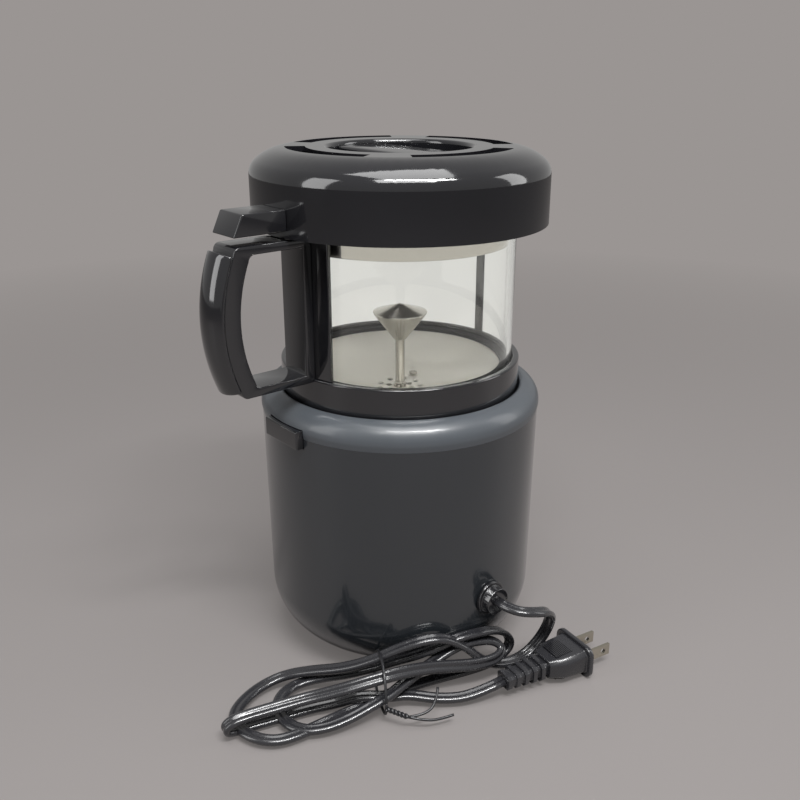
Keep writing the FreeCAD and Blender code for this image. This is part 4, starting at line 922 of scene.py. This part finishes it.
@dataclass
class WireTie:
    """The plastic-coated wire that holds the hank, with its twist and two loose ends."""

    wire: float = 0.0007
    side: Point = (0.3, 0.2, 0.93)
    wire_sides: int = 8
    steps: int = 40
    half_turns: int = 6
    band: tuple[Point, ...] = (
        (0.07, 0.0745, 0.012), (0.067, 0.07, 0.022), (0.062, 0.061, 0.026), (0.057, 0.052, 0.025),
        (0.0525, 0.044, 0.018), (0.0525, 0.042, 0.008), (0.056, 0.048, 0.001), (0.062, 0.058, 0.0009),
        (0.067, 0.069, 0.0012), (0.07, 0.0745, 0.006), (0.07, 0.0745, 0.012),
    )
    twist_start: Point = (0.07, 0.0745, 0.009)
    twist_end: Point = (0.064, 0.084, 0.007)
    ends: tuple[tuple[Point, ...], ...] = (
        ((0.064, 0.084, 0.007), (0.056, 0.089, 0.0075), (0.048, 0.087, 0.011), (0.044, 0.083, 0.014)),
        ((0.064, 0.084, 0.007), (0.0575, 0.09, 0.005), (0.049, 0.0935, 0.0045), (0.044, 0.095, 0.005)),
    )

    def twist(self, phase: float) -> list[Vector]:
        """One of the two wires twisted round each other.

        Args:
            phase: Where it starts round the twist, in radians.

        Returns:
            The wire's points.
        """
        start, end = Vector(self.twist_start), Vector(self.twist_end)
        way = (end - start).normalized()
        across = way.cross(Vector((0, 0, 1))).normalized()
        shares = [step / self.steps for step in range(self.steps + 1)]
        return [start.lerp(end, share) + Matrix.Rotation(phase + share * self.half_turns * math.pi, 3, way)
                @ across * self.wire for share in shares]

    def build(self) -> None:
        """Makes the tie from its band, its ends and its twist."""
        strands = [curve_points(line) for line in (self.band, *self.ends)]
        strands += [self.twist(phase) for phase in (0.0, math.pi)]
        section = circle(self.wire, self.wire_sides)
        made = [sweep("tie_strand" + str(number), path, section, [Vector(self.side)] * len(path))
                for number, path in enumerate(strands)]
        with bpy.context.temp_override(active_object=made[0], selected_editable_objects=made, object=made[0]):
            bpy.ops.object.join()
        made[0].name = "wire_tie"
        place_piece(dress(made[0], TIE_WIRE), Body.BASE, "cord_pvc", "cord_tie")


@dataclass
class Plug(SubAssembly):
    """The two-pin plug: its moulding, ribbed boot and grip pads."""

    face: tuple[float, float] = (-0.038, 0.103)
    heading: float = 171.0
    axis_height: float = 0.009
    pad_length: float = 11.0
    pad_width: float = 12.0
    pad_start: float = -18.5
    pad_top: float = 6.75
    rib_pitch: float = 1.1
    rib_width: float = 0.6
    rib_rise: float = 0.7
    shapes: ClassVar[tuple[NodePiece, ...]] = (
        NodePiece("plug_body", "plug_moulding", CORD_PVC, "cord_pvc", 0.7),
        NodePiece("plug_strain_relief", "plug_boot", CORD_PVC, "cord_pvc", 0.35),
    )

    def frame_of_plug(self) -> Matrix:
        """Where the plug's face stands and which way it points."""
        turn = Matrix.Rotation(math.radians(self.heading), 4, "Z")
        return Matrix.Translation((*self.face, self.axis_height)) @ turn

    def grip(self) -> None:
        """Rows of small ridges pressed into the plug's two flat sides."""
        made = GrowthTree("grip_ridges", ("Pitch", "Width", "Ridge", "Rise"))
        line = made.add("GeometryNodeMeshLine", inputs={
            "Count": made["Count"], "Offset": made.vector(X=made["Pitch"])})
        shape = made.vector(X=made["Ridge"], Y=made["Width"], Z=made["Rise"])
        bar = made.add("GeometryNodeMeshCube", inputs={"Size": shape})
        bars = made.add("GeometryNodeInstanceOnPoints", inputs={"Points": line, "Instance": bar})
        made.finish(bars, CORD_PVC)
        item = made.grow("plug_grip", Pitch=self.rib_pitch * MM, Width=self.pad_width * MM, Ridge=self.rib_width * MM,
                         Rise=self.rib_rise * MM, Count=int(self.pad_length / self.rib_pitch))
        work = bmesh.new()
        work.from_mesh(item.data)
        bmesh.ops.translate(work, verts=work.verts, vec=(self.pad_start * MM, 0, self.pad_top * MM))
        second = bmesh.ops.duplicate(work, geom=work.faces)["geom"]
        corners = [part for part in second if isinstance(part, bmesh.types.BMVert)]
        bmesh.ops.rotate(work, verts=corners, cent=(0, 0, 0), matrix=Matrix.Rotation(math.pi, 3, "X"))
        work.to_mesh(item.data)
        work.free()
        item.data.transform(self.frame_of_plug())
        place_piece(item, Body.BASE, "cord_pvc")

    def build(self) -> None:
        """Makes the plug's pieces."""
        super().build()
        self.grip()


@dataclass
class BaseUnit(SubAssembly):
    """The housing with its rim, foot, nozzle, gland and release button."""

    foot_radii: tuple[float, float] = (35.0, 41.0)
    foot_heights: tuple[float, float] = (0.0, 2.0)
    foot_rounding: float = 0.4
    shapes: ClassVar[tuple[NodePiece, ...]] = (
        NodePiece("base_housing", "housing", HOUSING_PAINT, "gloss_charcoal"),
        NodePiece("base_rim", "socket_rim", RIM_PAINT, "satin_rim"),
        NodePiece("air_nozzle", "hot_air_nozzle", ZINC_SHEET, "galvanised_steel"),
        NodePiece("cord_gland", "lead_gland", GLOSS_ABS, "gloss_black", 0.4),
        NodePiece("release_button", "jar_release", GLOSS_ABS, "gloss_black", 0.3, Body.BUTTON),
    )

    def build(self) -> None:
        """Makes the base's visible pieces."""
        super().build()
        foot = grown_ring("rubber_foot", SILICONE, self.foot_radii, self.foot_heights, self.foot_rounding)
        place_piece(foot, Body.BASE, "black_rubber", "foot_ring")


@dataclass
class Controls(SubAssembly):
    """The timer's panel with its scale, the knob and the lamp."""

    panel_face: float = 76.0
    height: float = 85.0
    scale_radius: float = 17.6
    tick_length: float = 2.2
    tick_width: float = 0.5
    tick_rise: float = 0.1
    ticks: int = 21
    sweep_angle: float = 270.0
    line_across: tuple[float, float] = (-0.6, 0.6)
    line_depth: tuple[float, float] = (-91.86, -91.4)
    line_rise: tuple[float, float] = (2.0, 11.5)
    shapes: ClassVar[tuple[NodePiece, ...]] = (
        NodePiece("control_panel", "timer_panel", GLOSS_ABS, "gloss_black", 0.8),
        NodePiece("timer_knob", "knob", GLOSS_ABS, "gloss_black", 0.7, Body.KNOB),
        NodePiece("indicator_lamp", "lamp", LAMP_LENS, "lamp_red", 0.4),
    )

    def scale(self) -> None:
        """Printed ticks round the knob, as one piece."""
        made = GrowthTree("timer_scale", ("Radius", "Sweep", "Length", "Width", "Rise"))
        line = made.add("GeometryNodeMeshLine", inputs={"Count": made["Count"], "Offset": (0.0, 0.0, 0.0)})
        share = made.calc("DIVIDE", made.add("GeometryNodeInputIndex"), made.calc("SUBTRACT", made["Count"], 1.0))
        angle = made.calc("MULTIPLY", made.calc("SUBTRACT", share, 0.5), made["Sweep"])
        across = made.calc("MULTIPLY", made.calc("SINE", angle), made["Radius"])
        up = made.calc("MULTIPLY", made.calc("COSINE", angle), made["Radius"])
        laid = made.add("GeometryNodeSetPosition", inputs={"Geometry": line, "Position": made.vector(X=across, Z=up)})
        shape = made.vector(X=made["Width"], Y=made["Rise"], Z=made["Length"])
        tick = made.add("GeometryNodeMeshCube", inputs={"Size": shape})
        ticks = made.add("GeometryNodeInstanceOnPoints", inputs={
            "Points": laid, "Instance": tick, "Rotation": made.vector(Y=angle)})
        made.finish(ticks, WHITE_INK)
        item = made.grow("timer_ticks", Radius=self.scale_radius * MM, Sweep=math.radians(self.sweep_angle),
                         Length=self.tick_length * MM, Width=self.tick_width * MM, Rise=self.tick_rise * MM,
                         Count=self.ticks)
        item.data.transform(Matrix.Translation((0, -self.panel_face * MM, self.height * MM)))
        place_piece(item, Body.BASE, "gloss_black")

    def pointer(self) -> None:
        """The white line on the knob's bar."""
        heights = [self.height + rise for rise in self.line_rise]
        points = [(x * MM, y * MM, z * MM) for x in self.line_across for y in self.line_depth for z in heights]
        faces = [(0, 1, 3, 2), (4, 6, 7, 5), (0, 4, 5, 1), (2, 3, 7, 6), (0, 2, 6, 4), (1, 5, 7, 3)]
        item = dress(mesh_object("knob_pointer", points, faces, smooth=False), WHITE_INK)
        place_piece(item, Body.KNOB, "gloss_black")

    def build(self) -> None:
        """Makes the control pieces."""
        super().build()
        self.scale()
        self.pointer()


@dataclass
class Jar(SubAssembly):
    """The glass jar with its rings, bowl, deflector, posts and handle."""

    ring_inner: float = 60.0
    ring_outer: float = 63.2
    ring_low: float = 128.0
    ring_high: float = 161.0
    ring_roundings: tuple[float, float, float, float] = (0.5, 0.8, 1.0, 0.7)
    ledge_inner: float = 54.0
    ledge_top: float = 156.0
    ledge_thick: float = 5.0
    ledge_rounding: float = 0.3
    glass_inner: float = 56.9
    glass_outer: float = 59.3
    glass_low: float = 159.0
    glass_high: float = 238.0
    glass_rounding: float = 0.9
    top_low: float = 231.6
    top_high: float = 239.6
    top_rounding: float = 0.6
    post_inner: float = 59.6
    shapes: ClassVar[tuple[NodePiece, ...]] = (
        NodePiece("roasting_bowl", "spun_bowl", SPUN_STEEL, "brushed_steel", body=Body.JAR),
        NodePiece("deflector_cone", "air_cone", TURNED_STEEL, "brushed_steel", body=Body.JAR),
        NodePiece("deflector_post", "cone_post", TURNED_STEEL, "brushed_steel", body=Body.JAR),
        NodePiece("front_post", "handle_post", GLOSS_ABS, "gloss_black", 0.5, Body.JAR),
        NodePiece("back_post", "rear_post", GLOSS_ABS, "gloss_black", 0.5, Body.JAR),
        NodePiece("handle_frame", "handle_body", GLOSS_ABS, "gloss_black", 0.9, Body.JAR),
        NodePiece("handle_grip", "handle_shell", GLOSS_ABS, "gloss_black", 0.6, Body.JAR),
    )

    def lower_ring(self) -> None:
        """The black ring that stands in the base's socket, with softly rounded edges."""
        inner_low, outer_low, outer_high, inner_high = self.ring_roundings
        outline = rounded_outline([
            (self.ring_inner, self.ring_low, inner_low), (self.ring_outer, self.ring_low, outer_low),
            (self.ring_outer, self.ring_high, outer_high), (self.ring_inner, self.ring_high, inner_high),
            (self.ring_inner, self.ledge_top, 0.0), (self.ledge_inner, self.ledge_top, self.ledge_rounding),
            (self.ledge_inner, self.ledge_top - self.ledge_thick / 2, self.ledge_rounding),
            (self.ring_inner, self.ledge_top - self.ledge_thick, 0.0),
        ])
        ring = dress(turned_normals(lathe("jar_lower_ring", outline)), GLOSS_ABS)
        place_piece(ring, Body.JAR, "gloss_black", "jar_ring")

    def build(self) -> None:
        """Makes the jar's pieces."""
        self.lower_ring()
        glass = grown_ring("jar_glass", CLEAR_GLASS, (self.glass_inner, self.glass_outer),
                           (self.glass_low, self.glass_high), self.glass_rounding, FINE_ROUND)
        place_piece(glass, Body.JAR, "clear_glass", "glass_cylinder")
        top = grown_ring("jar_upper_ring", GLOSS_ABS, (self.post_inner, self.ring_outer),
                         (self.top_low, self.top_high), self.top_rounding)
        place_piece(top, Body.JAR, "gloss_black", "jar_top_ring")
        super().build()


@dataclass
class Lid(SubAssembly):
    """The lift-off lid with its tab, liner and chaff filter."""

    screen_radius: float = 54.4
    screen_height: float = 238.3
    screen_pitch: float = 2.0
    wire: float = 0.22
    wire_sides: int = 6
    woven_apart: float = 0.8
    band_radii: tuple[float, float] = (54.5, 55.5)
    band_heights: tuple[float, float] = (221.0, 243.6)
    band_rounding: float = 0.3
    shapes: ClassVar[tuple[NodePiece, ...]] = (
        NodePiece("lid_shell", "lid_cap", GLOSS_ABS, "gloss_black", body=Body.LID),
        NodePiece("lid_cup", "finger_cup", GLOSS_ABS, "gloss_black", body=Body.LID),
        NodePiece("lid_grip_bar", "grip_bar", GLOSS_ABS, "gloss_black", 1.6, Body.LID),
        NodePiece("lid_tab", "thumb_tab", GLOSS_ABS, "gloss_black", 0.7, Body.LID),
        NodePiece("lid_liner", "lid_inner", SPARKED_NYLON, "matte_black", body=Body.LID),
    )

    def layer(self, made: GrowthTree, turned: float, lift: float) -> bpy.types.NodeSocket:
        """Straight wires side by side, each as long as the circle is wide there.

        Args:
            made: The screen's tree.
            turned: How far the layer is turned about the Z axis, in radians.
            lift: One for the upper layer, minus one for the lower.

        Returns:
            The layer's geometry.
        """
        span = made.calc("MULTIPLY", made.calc("SUBTRACT", made["Count"], 1.0), made["Pitch"])
        line = made.add("GeometryNodeMeshLine", inputs={
            "Count": made["Count"], "Start Location": made.vector(Y=made.calc("MULTIPLY", span, -0.5)),
            "Offset": made.vector(Y=made["Pitch"])})
        spot = made.add("GeometryNodeInputPosition")
        side = add_node(made.tree, "ShaderNodeSeparateXYZ", inputs={0: spot}).outputs["Y"]
        room = made.calc("SUBTRACT", made.calc("MULTIPLY", made["Radius"], made["Radius"]),
                         made.calc("MULTIPLY", side, side))
        reach = made.calc("MULTIPLY", made.calc("SQRT", made.calc("MAXIMUM", room, 0.0)), 2.0)
        rod = made.add("GeometryNodeMeshCylinder", inputs={
            "Vertices": self.wire_sides, "Radius": made["Wire"], "Depth": 1.0})
        wires = made.add("GeometryNodeInstanceOnPoints", inputs={
            "Points": line, "Instance": rod, "Rotation": (0.0, math.pi / 2, 0.0),
            "Scale": made.vector(X=1.0, Y=1.0, Z=reach)})
        rise = made.vector(Z=made.calc("MULTIPLY", made["Offset"], lift))
        return made.add("GeometryNodeTransform", inputs={
            "Geometry": wires, "Translation": rise, "Rotation": (0.0, 0.0, turned)})

    def screen(self) -> None:
        """The woven steel screen, two layers of straight wires clipped to a circle."""
        made = GrowthTree("woven_screen", ("Radius", "Pitch", "Wire", "Offset"))
        both = add_node(made.tree, "GeometryNodeJoinGeometry")
        for turned, lift in ((0.0, 1.0), (math.pi / 2, -1.0)):
            made.tree.links.new(self.layer(made, turned, lift), both.inputs[0])
        made.finish(both, TURNED_STEEL)
        item = made.grow("chaff_screen", Radius=self.screen_radius * MM, Pitch=self.screen_pitch * MM,
                         Wire=self.wire * MM, Offset=self.wire * self.woven_apart * MM,
                         Count=2 * int(self.screen_radius / self.screen_pitch) + 1)
        item.data.transform(Matrix.Translation((0, 0, self.screen_height * MM)))
        shade(item.data)
        place_piece(item, Body.FILTER, "brushed_steel", "filter_mesh")

    def build(self) -> None:
        """Makes the lid's pieces."""
        super().build()
        band = grown_ring("chaff_band", BUFFED_STEEL, self.band_radii, self.band_heights, self.band_rounding,
                          FINE_ROUND)
        place_piece(band, Body.FILTER, "polished_steel", "filter_ring")
        self.screen()


@dataclass(frozen=True)
class Lamp:
    """A soft rectangular lamp: where it hangs, its aim, its size in metres and its power in watts."""

    name: str
    place: Point
    aim: Point
    size: tuple[float, float]
    power: float

    def build(self) -> None:
        """Hangs the lamp."""
        data = bpy.data.lights.new(self.name, "AREA")
        data.shape = "RECTANGLE"
        data.size, data.size_y = self.size
        data.energy = self.power
        item = linked(self.name, data)
        item.location = self.place
        item.rotation_euler = (Vector(self.aim) - Vector(self.place)).to_track_quat("-Z", "Y").to_euler()


def mix(tree: bpy.types.NodeTree, share: Any, first: bpy.types.Node, second: bpy.types.Node) -> bpy.types.Node:
    """Mixes a second shader into a first by a share."""
    return add_node(tree, "ShaderNodeMixShader", inputs={0: share, 1: first, 2: second})


@dataclass
class Studio:
    """The camera, the table and the light."""

    camera_place: Point = (0.3009, 0.3651, 0.3108)
    camera_aim: Point = (0.0, 0.0, 0.1326)
    lens: float = 41.6
    sensor: float = 36.0
    clip: tuple[float, float] = (0.01, 30.0)
    table: str = "#7a7675"
    backdrop: str = "#9a9593"
    # Painted pale glow that the table and the room show only through the glass, brighter than their lit colour, and
    # how much of it the table shows.
    seen_through: str = "#e6e6e2"
    table_paleness: float = 0.9
    table_roughness: float = 0.6
    table_specular: float = 0.2
    room: str = "#c4c3c2"
    room_strength: float = 0.62
    fade_start: float = 0.35
    fade_end: float = 1.1
    near_share: float = 0.3
    table_reach: float = 2.6
    table_sides: int = 64
    lamps: tuple[Lamp, ...] = (
        Lamp("overhead_panel", (0.05, 0.15, 1.3), (0, 0, 0.1), (0.8, 0.8), 8.0),
        Lamp("front_panel", (0.42, 0.62, 1.15), (0, 0, 0.12), (0.75, 0.35), 6.0),
        Lamp("window_side", (-0.85, 0.60, 0.55), (0, 0, 0.14), (0.35, 0.8), 2.6),
        Lamp("room_side", (0.90, -0.20, 0.55), (0, 0, 0.16), (0.35, 0.8), 3.0),
        Lamp("strip_0", (0.10, 0.52, 0.95), (0, 0, 0.25), (0.28, 0.05), 3.2),
        Lamp("strip_1", (0.30, 0.40, 0.95), (0, 0, 0.25), (0.28, 0.05), 3.2),
        Lamp("strip_2", (0.02, 0.62, 0.95), (0, 0, 0.25), (0.28, 0.05), 3.2),
    )

    def camera(self) -> None:
        """Sets the camera to the photograph's viewing angle."""
        data = bpy.data.cameras.new("photo_camera")
        data.lens = self.lens
        data.sensor_width = self.sensor
        data.clip_start, data.clip_end = self.clip
        item = linked("photo_camera", data)
        item.location = self.camera_place
        look = Vector(self.camera_aim) - Vector(self.camera_place)
        item.rotation_euler = look.to_track_quat("-Z", "Y").to_euler()
        bpy.context.scene.camera = item

    def table_top(self) -> None:
        """The plain table: it fades into the backdrop, and seen through the glass it shows mostly a painted pale glow
        in place of its lit colour, so it looks paler there.
        """
        points = [(x, y, 0.0) for x, y in circle(self.table_reach, self.table_sides)]
        item = mesh_object("table_top", points, [tuple(range(self.table_sides))], smooth=False)
        material = bpy.data.materials.new("plain_table")
        tree = empty_tree(material)
        matt = add_node(tree, "ShaderNodeBsdfPrincipled", inputs={
            "Base Color": linear(self.table), "Roughness": self.table_roughness,
            "Specular IOR Level": self.table_specular})
        # The pale emission is a painted glow, shown where the table is seen through the glass.
        pale, plain = (add_node(tree, "ShaderNodeEmission", inputs={"Color": linear(colour), "Strength": 1.0})
                       for colour in (self.seen_through, self.backdrop))
        rays = add_node(tree, "ShaderNodeLightPath").outputs
        place = add_node(tree, "ShaderNodeTexCoord").outputs["Object"]
        reach = add_node(tree, "ShaderNodeVectorMath", {"operation": "LENGTH"}, {0: place})
        fade = add_node(tree, "ShaderNodeMapRange", inputs={
            "Value": reach.outputs["Value"], "From Min": self.fade_start, "From Max": self.fade_end,
            "To Min": self.near_share, "To Max": 1.0})
        shown, share = (add_node(tree, "ShaderNodeMath", {"operation": "MULTIPLY"}, {0: ray, 1: part})
                        for ray, part in ((rays["Is Camera Ray"], fade),
                                          (rays["Is Transmission Ray"], self.table_paleness)))
        mixed = mix(tree, share, mix(tree, shown, matt, plain), pale)
        add_node(tree, "ShaderNodeOutputMaterial", inputs={"Surface": mixed})
        item.data.materials.append(material)

    def surroundings(self) -> None:
        """An even grey room: the camera sees the photograph's grey, and the glass sees a painted pale glow."""
        world = bpy.data.worlds.new("plain_room")
        bpy.context.scene.world = world
        tree = empty_tree(world)
        rays = add_node(tree, "ShaderNodeLightPath").outputs
        # The pale background is a painted glow, shown only where the room is seen through the glass.
        room, wall, pale = (
            add_node(tree, "ShaderNodeBackground", inputs={"Color": linear(colour), "Strength": strength})
            for colour, strength in ((self.room, self.room_strength), (self.backdrop, 1.0), (self.seen_through, 1.0)))
        through = mix(tree, rays["Is Transmission Ray"], mix(tree, rays["Is Camera Ray"], room, wall), pale)
        add_node(tree, "ShaderNodeOutputWorld", inputs={"Surface": through})

    def build(self) -> None:
        """Sets the camera, the table, the room and the lamps."""
        bpy.context.scene.view_settings.view_transform = "Standard"
        self.camera()
        self.table_top()
        self.surroundings()
        for lamp in self.lamps:
            lamp.build()


def dress_hidden_nodes() -> None:
    """Gives every construction node that keeps its own mesh its finish."""
    for name, finish in NODE_FINISHES.items():
        item = frame["nodes"][name]
        for slot in item.material_slots:
            slot.material = finish.build()
        if not item.material_slots:
            item.data.materials.append(finish.build())


def main() -> None:
    """Builds the whole picture in order."""
    logging.basicConfig(level=logging.INFO, format="%(message)s")
    Studio().build()
    Plug().build()
    WireTie().build()
    MainsLead().build()
    BaseUnit().build()
    Controls().build()
    Jar().build()
    Lid().build()
    dress_hidden_nodes()


if __name__ == "__main__":
    main()
